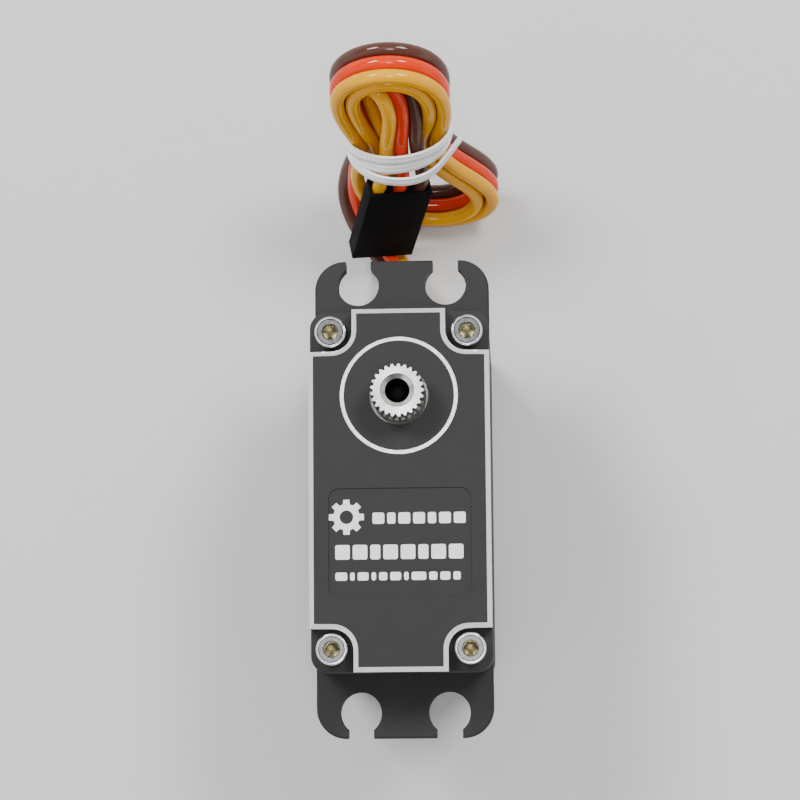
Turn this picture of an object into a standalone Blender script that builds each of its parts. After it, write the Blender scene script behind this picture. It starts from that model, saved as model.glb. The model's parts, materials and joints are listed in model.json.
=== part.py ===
"""Standard-size digital servo motor: metal case, motor, four-stage gear train and coiled lead.

Frame: X across the case, +Y towards the output shaft and the lead, +Z up out of the
splined shaft. The origin is the centre of the case's underside. Everything is in metres.
"""

import math

import bmesh
import bpy
from mathutils import Matrix, Vector

MM = 0.001
GAP = 0.3 * MM
MERGE = 0.00001

# Case
BODY_WIDTH = 20.0 * MM
BODY_LENGTH = 40.0 * MM
BODY_HEIGHT = 38.0 * MM
BODY_CORNER = 1.8 * MM
BOTTOM_SEAM = 9.0 * MM
TOP_SEAM = 28.2 * MM
FLOOR = 1.6 * MM
DECK_BOTTOM = 24.6 * MM
DECK_TOP = 27.0 * MM
GEAR_CEILING = 34.9 * MM
BAY_RADIUS = 8.3 * MM
GEAR_BAY_RADIUS = 8.5 * MM

# Raised top plate, its corner notches and its engraving
SHELF = 35.4 * MM
PLATE_END_HALF = 5.25 * MM
NOTCH_LINE = 15.3 * MM
NOTCH_FILLET = 2.3 * MM
PLATE_CHAMFER = 0.55 * MM
RING_RADIUS = 6.35 * MM
LABEL_SIZE = (15.7 * MM, 12.0 * MM)
LABEL_CENTRE_Y = -5.93 * MM
ENGRAVING_DEPTH = 0.15 * MM

# Mounting ears
FLANGE_LENGTH = 54.5 * MM
FLANGE_BOTTOM = 25.0 * MM
FLANGE_TOP = 27.5 * MM
FLANGE_CORNER = 3.4 * MM
EAR_HOLE_RADIUS = 2.35 * MM
EAR_SLOT_WIDTH = 2.9 * MM
EAR_HOLE_X = 5.0 * MM
EAR_HOLE_Y = 24.4 * MM

# Case screws
SCREW_X = 7.58 * MM
SCREW_Y = 17.5 * MM
SCREW_HEAD_RADIUS = 1.85 * MM
SCREW_HEAD_HEIGHT = 2.0 * MM
SCREW_RADIUS = 1.0 * MM
SCREW_TIP = 1.8 * MM
SCREW_SOCKET = 0.87 * MM
SCREW_HOLE = SCREW_RADIUS + GAP

# Shaft axes, all on the case's centre plane
OUTPUT_Y = 10.3 * MM
IDLER_Y = OUTPUT_Y - 10.0 * MM
MOTOR_Y = IDLER_Y - 8.7 * MM

# Gear layers, from the deck up: (bottom, top)
LAYER_1 = (27.3 * MM, 28.7 * MM)
LAYER_2 = (29.0 * MM, 30.5 * MM)
LAYER_3 = (30.8 * MM, 32.4 * MM)
LAYER_4 = (32.7 * MM, 34.6 * MM)
STAGES = {  # module, driving teeth, driven teeth
    1: (0.3 * MM, 10, 48),
    2: (0.4 * MM, 11, 39),
    3: (0.4 * MM, 12, 38),
    4: (0.5 * MM, 10, 30),
}
PRESSURE_ANGLE = math.radians(25)
ADDENDUM = 0.8
DEDENDUM = 1.05
TOOTH_SHARE = 0.43
IDLER_PIN_RADIUS = 0.8 * MM
IDLER_BORE = 1.1 * MM
IDLER_PIN_ENDS = (25.5 * MM, 36.3 * MM)
IDLER_POCKET_ENDS = (25.2 * MM, 36.6 * MM)
STUB_RADIUS = 1.0 * MM
STUB_BORE = 1.3 * MM

# Output shaft
JOURNAL_RADIUS = 2.95 * MM
SPLINE_RADIUS = 2.95 * MM
SPLINE_ROOT = 2.6 * MM
SPLINE_TEETH = 25
SPLINE_BOTTOM = 38.8 * MM
SPLINE_TOP = 42.3 * MM
STUB_BOTTOM = 23.2 * MM
HORN_HOLE = 1.3 * MM
HORN_COUNTERSINK = 1.85 * MM
UPPER_BEARING = (3.25 * MM, 3.9 * MM, 4.5 * MM, 5.0 * MM, 34.9 * MM, 37.2 * MM)
LOWER_BEARING = (1.3 * MM, 1.8 * MM, 2.4 * MM, 3.0 * MM, 25.4 * MM, 27.0 * MM)

# Motor
MOTOR_RADIUS = 8.0 * MM
MOTOR_WALL = 0.7 * MM
MOTOR_TOP = 24.3 * MM
MOTOR_BOTTOM = 7.4 * MM
MOTOR_SHAFT_RADIUS = 0.5 * MM
MOTOR_SHAFT_ENDS = (6.2 * MM, 29.2 * MM)
PINION_BORE = 0.8 * MM
MOTOR_COLLAR = 1.9 * MM
MOTOR_CAP_BOTTOM = 5.9 * MM
MOTOR_SCREW_X = 5.6 * MM
MOTOR_SCREW_BORE = 1.1 * MM
ARMATURE_ENDS = (11.6 * MM, 21.5 * MM)
MAGNET_ENDS = (10.8 * MM, 22.6 * MM)
COMMUTATOR_RADIUS = 1.7 * MM
COMMUTATOR_ENDS = (8.0 * MM, 10.8 * MM)
BRUSH_ENDS = (8.3 * MM, 10.3 * MM)
BRUSH_REACH = (2.0 * MM, 3.8 * MM)
BRUSH_HALF_WIDTH = 0.9 * MM

# Electronics
BOARD_BOTTOM = 3.5 * MM
BOARD_TOP = 4.6 * MM

# Lead
WIRE_PITCH = 1.7 * MM
TUBE_RADIUS = 0.7 * MM
EXIT_Y = 22.2 * MM
EXIT_Z = 7.2 * MM
HANK_LEAN = math.radians(15)
HANK_FOOT = Vector((0, 39.5, 1.55)) * MM
HANK_HALF_DEPTH = 2.55 * MM
TIE_BOTTOM = 16.6 * MM
TIE_TOP = 18.8 * MM
PLUG_LENGTH = 14.0 * MM
PLUG_HALF_WIDTH = 3.85 * MM
PLUG_HALF_DEPTH = 1.3 * MM
PLUG_PITCH = 2.54 * MM
PLUG_ENTRY = Vector((-0.6, 38.4, 16.4)) * MM
PLUG_AXIS = Vector((-3.0, -5.2, -12.6)).normalized()
WIRES = ("brown", "red", "orange")

COLOURS = {
    "case_metal": ((0.030, 0.031, 0.033), 0.42, 0.6),
    "bright_steel": ((0.62, 0.62, 0.60), 0.25, 1.0),
    "gear_steel": ((0.48, 0.46, 0.42), 0.32, 1.0),
    "brass": ((0.70, 0.52, 0.22), 0.30, 1.0),
    "motor_can": ((0.55, 0.55, 0.54), 0.35, 1.0),
    "dark_plastic": ((0.012, 0.012, 0.013), 0.45, 0.0),
    "magnet": ((0.10, 0.10, 0.11), 0.6, 0.2),
    "copper": ((0.72, 0.35, 0.18), 0.3, 1.0),
    "board_green": ((0.02, 0.16, 0.06), 0.4, 0.0),
    "rubber": ((0.015, 0.015, 0.015), 0.7, 0.0),
    "wire_brown": ((0.10, 0.035, 0.018), 0.35, 0.0),
    "wire_red": ((0.60, 0.05, 0.015), 0.35, 0.0),
    "wire_orange": ((0.75, 0.33, 0.01), 0.35, 0.0),
    "tie_white": ((0.82, 0.82, 0.84), 0.5, 0.0),
}


# ---------------------------------------------------------------- scene helpers


def clear_scene():
    for item in list(bpy.data.objects):
        bpy.data.objects.remove(item)


def collection(name):
    found = bpy.data.collections.get(name)
    if found is None:
        found = bpy.data.collections.new(name)
        bpy.context.scene.collection.children.link(found)
    return found


def material(name):
    found = bpy.data.materials.get(name)
    if found:
        return found
    colour, roughness, metallic = COLOURS[name]
    made = bpy.data.materials.new(name)
    made.use_nodes = True
    shader = made.node_tree.nodes["Principled BSDF"]
    shader.inputs["Base Color"].default_value = (*colour, 1)
    shader.inputs["Roughness"].default_value = roughness
    shader.inputs["Metallic"].default_value = metallic
    made.diffuse_color = (*colour, 1)
    return made


def place(item):
    """New shapes start among the cutters; finish() moves a piece out of them."""
    collection("cutters").objects.link(item)
    return item


def finish(item, name, finish_name):
    """Names a piece and gives it its own copy of a finish."""
    collection("cutters").objects.unlink(item)
    collection("servo_motor").objects.link(item)
    item.name = name
    item.data.name = name
    own = material(finish_name).copy()
    own.name = name
    item.data.materials.clear()
    item.data.materials.append(own)
    return item


def as_mesh(item):
    """The object's evaluated shape as a welded mesh object, in place of the original."""
    graph = bpy.context.evaluated_depsgraph_get()
    mesh = bpy.data.meshes.new_from_object(item.evaluated_get(graph))
    solid = bpy.data.objects.new(item.name, mesh)
    solid.matrix_world = item.matrix_world
    for group in item.users_collection:
        group.objects.link(solid)
    bpy.data.objects.remove(item)
    weld(mesh)
    return solid


def weld(mesh):
    work = bmesh.new()
    work.from_mesh(mesh)
    bmesh.ops.remove_doubles(work, verts=work.verts, dist=MERGE)
    bmesh.ops.recalc_face_normals(work, faces=work.faces)
    work.to_mesh(mesh)
    work.free()


def combine(base, tool, operation):
    """One Boolean step, applied at once; the tool is used up."""
    change = base.modifiers.new(operation.lower(), "BOOLEAN")
    change.object = tool
    change.operation = operation
    change.solver = "EXACT"
    bpy.context.view_layer.update()
    solid = as_mesh(base)
    bpy.data.objects.remove(tool)
    return solid


def cut(base, *tools):
    for tool in tools:
        base = combine(base, tool, "DIFFERENCE")
    return base


def join(base, *tools):
    for tool in tools:
        base = combine(base, tool, "UNION")
    return base


def smooth(item):
    item.data.shade_smooth()
    item.data.set_sharp_from_angle(angle=math.radians(35))
    return item


# ---------------------------------------------------------------- shape helpers


def box(low, high, bevel=0.0):
    low, high = Vector(low), Vector(high)
    work = bmesh.new()
    bmesh.ops.create_cube(work, size=1.0)
    size = high - low
    bmesh.ops.scale(work, vec=size, verts=work.verts)
    bmesh.ops.translate(work, vec=(low + high) / 2, verts=work.verts)
    if bevel:
        bmesh.ops.bevel(
            work, geom=work.edges, offset=bevel, segments=1, profile=0.5, affect="EDGES"
        )
    mesh = bpy.data.meshes.new("box")
    work.to_mesh(mesh)
    work.free()
    return place(bpy.data.objects.new("box", mesh))


def cylinder(radius, bottom, top, x=0.0, y=0.0, sides=32, top_radius=None):
    work = bmesh.new()
    bmesh.ops.create_cone(
        work,
        cap_ends=True,
        segments=sides,
        radius1=radius,
        radius2=radius if top_radius is None else top_radius,
        depth=top - bottom,
    )
    bmesh.ops.translate(work, vec=(x, y, (top + bottom) / 2), verts=work.verts)
    mesh = bpy.data.meshes.new("cylinder")
    work.to_mesh(mesh)
    work.free()
    return place(bpy.data.objects.new("cylinder", mesh))


def turned(profile, x=0.0, y=0.0, sides=32, closed=False):
    """A profile of (radius, height) points turned about a vertical axis."""
    work = bmesh.new()
    points = [work.verts.new((radius, 0, height)) for radius, height in profile]
    for first, second in zip(points, points[1:]):
        work.edges.new((first, second))
    if closed:
        work.edges.new((points[-1], points[0]))
    mesh = bpy.data.meshes.new("turned")
    work.to_mesh(mesh)
    work.free()
    item = place(bpy.data.objects.new("turned", mesh))
    spin = item.modifiers.new("spin", "SCREW")
    spin.steps = sides
    spin.render_steps = sides
    spin.use_merge_vertices = True
    spin.merge_threshold = MERGE
    item = as_mesh(item)
    item.location = (x, y, 0)
    bpy.context.view_layer.update()
    return item


def ring(inner, outer, bottom, top, x=0.0, y=0.0, sides=28):
    profile = [(inner, top), (outer, top), (outer, bottom), (inner, bottom)]
    return turned(profile, x, y, sides, closed=True)


def plate(loops, bottom, top, bevel=0.0):
    """A flat outline, with any holes as further loops, between two heights."""
    shape = bpy.data.curves.new("plate", "CURVE")
    shape.dimensions = "2D"
    shape.fill_mode = "BOTH"
    shape.extrude = (top - bottom) / 2 - bevel
    shape.bevel_depth = bevel
    shape.bevel_resolution = 0
    shape.offset = -bevel
    for loop in loops:
        spline = shape.splines.new("POLY")
        spline.points.add(len(loop) - 1)
        for point, (x, y) in zip(spline.points, loop):
            point.co = (x, y, 0, 1)
        spline.use_cyclic_u = True
    item = place(bpy.data.objects.new("plate", shape))
    item.location = (0, 0, (top + bottom) / 2)
    bpy.context.view_layer.update()
    return as_mesh(item)


def tube(name, points, radius, finish_name):
    """A round wire through the points, with closed ends."""
    shape = bpy.data.curves.new(name, "CURVE")
    shape.dimensions = "3D"
    shape.bevel_depth = radius
    shape.bevel_resolution = 2
    shape.use_fill_caps = True
    spline = shape.splines.new("POLY")
    spline.points.add(len(points) - 1)
    for point, spot in zip(spline.points, points):
        point.co = (*spot, 1)
    item = place(bpy.data.objects.new(name, shape))
    return finish(item, name, finish_name)


def arc(centre_x, centre_y, radius, start, end, steps):
    """Points of an arc between two angles in degrees, both ends included."""
    angles = [math.radians(start + (end - start) * i / steps) for i in range(steps + 1)]
    return [(centre_x + radius * math.cos(a), centre_y + radius * math.sin(a)) for a in angles]


def rounded_rectangle(half_x, half_y, radius, steps=4, centre_y=0.0):
    points = []
    corners = ((1, 1, 0), (-1, 1, 90), (-1, -1, 180), (1, -1, 270))
    for side_x, side_y, start in corners:
        points += arc(
            side_x * (half_x - radius),
            centre_y + side_y * (half_y - radius),
            radius,
            start,
            start + 90,
            steps,
        )
    return points


def four_corners():
    return [(side_x, side_y) for side_x in (-1, 1) for side_y in (-1, 1)]


def smooth_route(points, spacing):
    """A Catmull-Rom curve through hand-chosen points, resampled at about the spacing."""
    spots = [Vector(p) for p in points]
    spots = [2 * spots[0] - spots[1]] + spots + [2 * spots[-1] - spots[-2]]
    fine = []
    for i in range(1, len(spots) - 2):
        a, b, c, d = spots[i - 1 : i + 3]
        count = max(1, round((c - b).length / spacing))
        for k in range(count):
            t = k / count
            fine.append(
                0.5
                * (
                    2 * b
                    + (c - a) * t
                    + (2 * a - 5 * b + 4 * c - d) * t**2
                    + (3 * b - a - 3 * c + d) * t**3
                )
            )
    fine.append(spots[-2])
    return fine


# ---------------------------------------------------------------- gears


def involute(angle):
    return math.tan(angle) - angle


def gear_outline(module, teeth, centre_y, tooth_at=None, gap_at=None):
    """An involute gear's outline, with a tooth or a gap centred on the given angle."""
    pitch = module * teeth / 2
    base = pitch * math.cos(PRESSURE_ANGLE)
    tip = pitch + ADDENDUM * module
    root = pitch - DEDENDUM * module
    half_at_pitch = TOOTH_SHARE * math.pi / teeth

    def half_width(radius):
        if radius <= base:
            return half_at_pitch + involute(PRESSURE_ANGLE)
        return half_at_pitch + involute(PRESSURE_ANGLE) - involute(math.acos(base / radius))

    step = 2 * math.pi / teeth
    phase = tooth_at if tooth_at is not None else gap_at + step / 2
    radii = (root, pitch, tip) if teeth > 20 else (root, max(base, root), pitch, tip)
    outline = []
    for k in range(teeth):
        middle = phase + k * step
        sides = [(radius, middle - half_width(radius)) for radius in radii]
        sides += [(radius, middle + half_width(radius)) for radius in reversed(radii)]
        outline += [(r * math.cos(a), centre_y + r * math.sin(a)) for r, a in sides]
    return outline


def compound_gear(name, wheel, pinion, y, bore, hub_bottom):
    """A wheel with a smaller pinion on top, turning on a pin: each is (outline, layer)."""
    wheel_outline, wheel_layer = wheel
    pinion_outline, pinion_layer = pinion
    item = plate([wheel_outline], *wheel_layer)
    item = join(item, plate([pinion_outline], wheel_layer[1] - 0.2 * MM, pinion_layer[1]))
    if hub_bottom < wheel_layer[0]:
        hub = cylinder(bore + 0.8 * MM, hub_bottom, wheel_layer[0] + 0.2 * MM, y=y, sides=20)
        item = join(item, hub)
    bottom = hub_bottom - MM
    item = cut(item, cylinder(bore, bottom, pinion_layer[1] + MM, y=y, sides=20))
    return finish(item, name, "gear_steel")


def make_gears():
    towards_output, towards_motor = math.radians(90), math.radians(-90)
    outlines = {}
    axes = {1: (MOTOR_Y, IDLER_Y), 2: (IDLER_Y, OUTPUT_Y), 3: (OUTPUT_Y, IDLER_Y)}
    axes[4] = (IDLER_Y, OUTPUT_Y)
    for stage, (module, driving, driven) in STAGES.items():
        driving_y, driven_y = axes[stage]
        forward = driven_y > driving_y
        ahead, back = towards_output, towards_motor
        if not forward:
            ahead, back = back, ahead
        outlines[stage] = (
            gear_outline(module, driving, driving_y, gap_at=ahead),
            gear_outline(module, driven, driven_y, tooth_at=back),
        )
    compound_gear(
        "gear_1",
        (outlines[1][1], LAYER_1),
        (outlines[2][0], LAYER_2),
        IDLER_Y,
        IDLER_BORE,
        LAYER_1[0],
    )
    compound_gear(
        "gear_2",
        (outlines[2][1], LAYER_2),
        (outlines[3][0], LAYER_3),
        OUTPUT_Y,
        STUB_BORE,
        LAYER_1[0],
    )
    compound_gear(
        "gear_3",
        (outlines[3][1], LAYER_3),
        (outlines[4][0], LAYER_4),
        IDLER_Y,
        IDLER_BORE,
        LAYER_3[0],
    )
    pinion = plate([outlines[1][0]], LAYER_1[0], LAYER_1[1] + 0.2 * MM)
    bore = cylinder(PINION_BORE, DECK_TOP, LAYER_2[1], y=MOTOR_Y, sides=16)
    finish(cut(pinion, bore), "motor_pinion", "brass")
    make_output_gear(outlines[4][1])


def spline_outline():
    step = 2 * math.pi / SPLINE_TEETH
    outline = []
    for k in range(SPLINE_TEETH):
        for share, radius in ((-0.5, SPLINE_ROOT), (-0.12, SPLINE_RADIUS), (0.12, SPLINE_RADIUS)):
            angle = (k + share) * step
            outline.append((radius * math.cos(angle), OUTPUT_Y + radius * math.sin(angle)))
    return outline


def make_output_gear(outline):
    """The last gear, its shaft and the 25-tooth spline are one piece."""
    item = plate([outline], *LAYER_4)
    shaft = [
        (0, SPLINE_BOTTOM + 0.3 * MM),
        (SPLINE_ROOT, SPLINE_BOTTOM + 0.3 * MM),
        (JOURNAL_RADIUS, SPLINE_BOTTOM),
        (JOURNAL_RADIUS, LAYER_4[0] + 0.5 * MM),
        (STUB_RADIUS, LAYER_4[0] + 0.5 * MM),
        (STUB_RADIUS, STUB_BOTTOM),
        (0, STUB_BOTTOM),
    ]
    item = join(item, turned(shaft, y=OUTPUT_Y, sides=28))
    teeth = plate([spline_outline()], SPLINE_BOTTOM + 0.1 * MM, SPLINE_TOP, bevel=0.0)
    chamfer = turned(
        [
            (SPLINE_ROOT - 0.2 * MM, SPLINE_TOP + 0.5 * MM),
            (4 * MM, SPLINE_TOP + 0.5 * MM),
            (4 * MM, SPLINE_TOP - 1.2 * MM),
        ],
        y=OUTPUT_Y,
        closed=True,
    )
    item = join(item, cut(teeth, chamfer))
    hole = turned(
        [
            (0, SPLINE_TOP + MM),
            (HORN_COUNTERSINK + MM, SPLINE_TOP + MM),
            (HORN_COUNTERSINK, SPLINE_TOP),
            (HORN_HOLE, SPLINE_TOP - 0.55 * MM),
            (HORN_HOLE, SPLINE_TOP - 7 * MM),
            (0, SPLINE_TOP - 7.6 * MM),
        ],
        y=OUTPUT_Y,
        sides=24,
    )
    finish(cut(item, hole), "output_gear", "gear_steel")


def make_bearing(name, sizes):
    bore, inner, outer, outside, bottom, top = sizes
    finish(ring(bore, inner, bottom, top, y=OUTPUT_Y), f"{name}_inner_race", "bright_steel")
    finish(ring(outer, outside, bottom, top, y=OUTPUT_Y), f"{name}_outer_race", "bright_steel")


# ---------------------------------------------------------------- case


def case_block(bottom, top, bevel=0.0):
    outline = rounded_rectangle(BODY_WIDTH / 2, BODY_LENGTH / 2, BODY_CORNER)
    return plate([outline], bottom, top, bevel)


def screw_holes(bottom, top):
    return [
        cylinder(SCREW_HOLE, bottom, top, side_x * SCREW_X, side_y * SCREW_Y, sides=12)
        for side_x, side_y in four_corners()
    ]


def plate_outline():
    """The raised plate: a rectangle whose corners are notched around the screws."""
    quarter = [(BODY_WIDTH / 2, NOTCH_LINE - 0.03 * MM)]
    centre_x = PLATE_END_HALF + NOTCH_FILLET
    centre_y = NOTCH_LINE + NOTCH_FILLET
    quarter += arc(centre_x, centre_y, NOTCH_FILLET, 270, 180, 5)
    quarter += [(PLATE_END_HALF, BODY_LENGTH / 2)]
    half = quarter + [(-x, y) for x, y in reversed(quarter)]
    return half + [(-x, -y) for x, y in half]


def gear_bay(bottom, top):
    """Room for the gears: three wide bores side by side."""
    motor_top = min(top, LAYER_3[0] + GAP)
    tops = ((OUTPUT_Y, top), (IDLER_Y, top), (MOTOR_Y, motor_top))
    return [cylinder(GEAR_BAY_RADIUS, bottom, height, y=y, sides=28) for y, height in tops]


def make_top_cover():
    item = case_block(TOP_SEAM + GAP, SHELF)
    item = join(item, plate([plate_outline()], SHELF - MM, BODY_HEIGHT, PLATE_CHAMFER))
    item = cut(item, *gear_bay(TOP_SEAM - MM, GEAR_CEILING))
    seat_radius, seat_top = UPPER_BEARING[3] + GAP, UPPER_BEARING[5] + GAP
    item = cut(item, cylinder(seat_radius, GEAR_CEILING - MM, seat_top, y=OUTPUT_Y))
    item = cut(item, cylinder(JOURNAL_RADIUS + GAP, SHELF, BODY_HEIGHT + MM, y=OUTPUT_Y))
    pocket_top = IDLER_POCKET_ENDS[1]
    item = cut(item, cylinder(IDLER_BORE, GEAR_CEILING - MM, pocket_top, y=IDLER_Y, sides=12))
    item = cut(item, *screw_holes(TOP_SEAM, SHELF + MM))
    groove = turned(
        [
            (RING_RADIUS - 0.3 * MM, BODY_HEIGHT + 0.1 * MM),
            (RING_RADIUS + 0.3 * MM, BODY_HEIGHT + 0.1 * MM),
            (RING_RADIUS, BODY_HEIGHT - ENGRAVING_DEPTH),
        ],
        y=OUTPUT_Y,
        sides=32,
        closed=True,
    )
    label = rounded_rectangle(
        LABEL_SIZE[0] / 2, LABEL_SIZE[1] / 2, 1.2 * MM, 3, centre_y=LABEL_CENTRE_Y
    )
    recess = plate([label], BODY_HEIGHT - ENGRAVING_DEPTH, BODY_HEIGHT + MM)
    finish(cut(item, groove, recess), "top_cover", "case_metal")


def keyhole_cutters():
    tools = []
    for side_x, side_y in four_corners():
        x, y = side_x * EAR_HOLE_X, side_y * EAR_HOLE_Y
        bottom, top = FLANGE_BOTTOM - MM, FLANGE_TOP + MM
        tools.append(cylinder(EAR_HOLE_RADIUS, bottom, top, x, y, sides=20))
        ends = sorted((y, side_y * (FLANGE_LENGTH / 2 + MM)))
        half = EAR_SLOT_WIDTH / 2
        tools.append(box((x - half, ends[0], bottom), (x + half, ends[1], top)))
    return tools


def make_middle_case():
    item = case_block(BOTTOM_SEAM + 0.1 * MM, TOP_SEAM)
    ears = rounded_rectangle(BODY_WIDTH / 2 - 0.01 * MM, FLANGE_LENGTH / 2, FLANGE_CORNER, 4)
    item = join(item, plate([ears], FLANGE_BOTTOM, FLANGE_TOP, 0.25 * MM))
    item = cut(item, *keyhole_cutters())
    item = cut(item, *gear_bay(DECK_TOP, TOP_SEAM + MM))
    for y in (MOTOR_Y, 9.0 * MM):
        item = cut(item, cylinder(BAY_RADIUS, BOTTOM_SEAM - MM, DECK_BOTTOM, y=y, sides=28))
    passage = box((-6 * MM, MOTOR_Y, BOTTOM_SEAM - MM), (6 * MM, 9 * MM, DECK_BOTTOM))
    item = cut(item, passage)
    holes = [
        cylinder(LOWER_BEARING[3] + GAP, 25.1 * MM, DECK_TOP + MM, y=OUTPUT_Y, sides=24),
        cylinder(STUB_BORE, DECK_BOTTOM - MM, DECK_TOP, y=OUTPUT_Y, sides=20),
        cylinder(2.2 * MM, DECK_BOTTOM - MM, DECK_TOP + MM, y=MOTOR_Y, sides=20),
        cylinder(IDLER_BORE, IDLER_POCKET_ENDS[0], DECK_TOP + MM, y=IDLER_Y, sides=12),
    ]
    for side in (-1, 1):
        x = side * MOTOR_SCREW_X
        ends = (DECK_BOTTOM - MM, DECK_TOP + MM)
        holes.append(cylinder(MOTOR_SCREW_BORE, *ends, x, MOTOR_Y, 12))
    item = cut(item, *holes, *screw_holes(BOTTOM_SEAM - MM, TOP_SEAM + MM))
    finish(item, "middle_case", "case_metal")


def plus_outline(half_x, half_y, side_half_y, end_half_x):
    lead_in = 0.3 * MM
    quarter = [(half_x, side_half_y - lead_in), (end_half_x, side_half_y), (end_half_x, half_y)]
    half = quarter + [(-x, y) for x, y in reversed(quarter)]
    return half + [(-x, -y) for x, y in half]


def make_bottom_cover():
    item = case_block(0, BOTTOM_SEAM - 0.2 * MM, bevel=0.4 * MM)
    inside = plus_outline(8.4 * MM, 18.4 * MM, 15.0 * MM, 5.2 * MM)
    item = cut(item, plate([inside], FLOOR, BOTTOM_SEAM + MM))
    notch = box((-3.2 * MM, 17 * MM, 5.4 * MM), (3.2 * MM, 21 * MM, BOTTOM_SEAM + MM))
    item = cut(item, notch, *screw_holes(1.2 * MM, BOTTOM_SEAM + MM))
    finish(item, "bottom_cover", "case_metal")


def make_case_screws():
    """Long socket-head screws that hold the three case parts together."""
    head_bottom = SHELF + GAP
    head_top = head_bottom + SCREW_HEAD_HEIGHT
    profile = [
        (0, head_top),
        (SCREW_HEAD_RADIUS - 0.2 * MM, head_top),
        (SCREW_HEAD_RADIUS, head_top - 0.2 * MM),
        (SCREW_HEAD_RADIUS, head_bottom),
        (SCREW_RADIUS, head_bottom),
        (SCREW_RADIUS, SCREW_TIP),
        (0, SCREW_TIP),
    ]
    names = {(-1, 1): "front_left", (1, 1): "front_right", (-1, -1): "rear_left"}
    names[(1, -1)] = "rear_right"
    for side_x, side_y in four_corners():
        x, y = side_x * SCREW_X, side_y * SCREW_Y
        item = turned(profile, x, y, sides=20)
        socket = cylinder(SCREW_SOCKET, head_top - 1.1 * MM, head_top + MM, x, y, sides=6)
        finish(cut(item, socket), f"case_screw_{names[(side_x, side_y)]}", "bright_steel")


def make_idler_pin():
    pin = cylinder(IDLER_PIN_RADIUS, *IDLER_PIN_ENDS, y=IDLER_Y, sides=16)
    finish(pin, "idler_pin", "bright_steel")


# ---------------------------------------------------------------- motor and electronics


def make_motor_can():
    collar_top = MOTOR_TOP + 1.2 * MM
    inner_radius = MOTOR_RADIUS - MOTOR_WALL
    inner_top = MOTOR_TOP - MOTOR_WALL
    profile = [
        (MOTOR_COLLAR, collar_top),
        (MOTOR_COLLAR, MOTOR_TOP),
        (MOTOR_RADIUS - 0.3 * MM, MOTOR_TOP),
        (MOTOR_RADIUS, MOTOR_TOP - 0.3 * MM),
        (MOTOR_RADIUS, MOTOR_BOTTOM),
        (inner_radius, MOTOR_BOTTOM),
        (inner_radius, inner_top),
        (PINION_BORE, inner_top),
        (PINION_BORE, collar_top),
    ]
    item = turned(profile, y=MOTOR_Y, sides=36, closed=True)
    ends = (MOTOR_TOP - MM, MOTOR_TOP + MM)
    bores = [
        cylinder(MOTOR_SCREW_BORE, *ends, side * MOTOR_SCREW_X, MOTOR_Y, 12) for side in (-1, 1)
    ]
    finish(cut(item, *bores), "motor_can", "motor_can")


def make_motor():
    make_motor_can()
    cap = ring(PINION_BORE, MOTOR_RADIUS, MOTOR_CAP_BOTTOM, MOTOR_BOTTOM - GAP, y=MOTOR_Y)
    finish(cap, "motor_end_cap", "dark_plastic")
    shaft = cylinder(MOTOR_SHAFT_RADIUS, *MOTOR_SHAFT_ENDS, y=MOTOR_Y, sides=12)
    finish(shaft, "motor_shaft", "bright_steel")
    armature = plate([armature_outline()], *ARMATURE_ENDS)
    bore_ends = (ARMATURE_ENDS[0] - MM, ARMATURE_ENDS[1] + MM)
    bore = cylinder(PINION_BORE, *bore_ends, y=MOTOR_Y, sides=12)
    finish(cut(armature, bore), "motor_armature", "copper")
    commutator = ring(PINION_BORE, COMMUTATOR_RADIUS, *COMMUTATOR_ENDS, y=MOTOR_Y, sides=16)
    finish(commutator, "motor_commutator", "brass")
    for side, word in ((-1, "left"), (1, "right")):
        make_magnet(side, f"motor_magnet_{word}")
        make_brush(side, f"motor_brush_{word}")
        make_motor_screw(side, f"motor_screw_{word}")


def make_brush(side, name):
    inner, outer = sorted(side * reach for reach in BRUSH_REACH)
    bottom, top = BRUSH_ENDS
    low = (inner, MOTOR_Y - BRUSH_HALF_WIDTH, bottom)
    high = (outer, MOTOR_Y + BRUSH_HALF_WIDTH, top)
    finish(box(low, high), name, "magnet")


def armature_outline(poles=5, core=2.4 * MM, outside=5.1 * MM):
    """A five-pole armature: wide pole tips on a round core."""
    outline = []
    step = 360 / poles
    for k in range(poles):
        middle = k * step
        outline += arc(0, MOTOR_Y, core, middle - 26, middle - 14, 1)
        outline += arc(0, MOTOR_Y, outside, middle - 29, middle + 29, 4)
        outline += arc(0, MOTOR_Y, core, middle + 14, middle + 26, 1)
    return outline


def make_magnet(side, name):
    middle = 0 if side > 0 else 180
    outline = arc(0, MOTOR_Y, 6.9 * MM, middle - 55, middle + 55, 8)
    outline += arc(0, MOTOR_Y, 5.5 * MM, middle + 55, middle - 55, 8)
    finish(plate([outline], *MAGNET_ENDS), name, "magnet")


def make_motor_screw(side, name):
    head_bottom = DECK_TOP + GAP
    profile = [
        (0, head_bottom + 1.1 * MM),
        (1.0 * MM, head_bottom + 1.1 * MM),
        (1.5 * MM, head_bottom + 0.6 * MM),
        (1.5 * MM, head_bottom),
        (0.8 * MM, head_bottom),
        (0.8 * MM, 22.8 * MM),
        (0, 22.8 * MM),
    ]
    finish(turned(profile, side * MOTOR_SCREW_X, MOTOR_Y, sides=14), name, "bright_steel")


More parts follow.
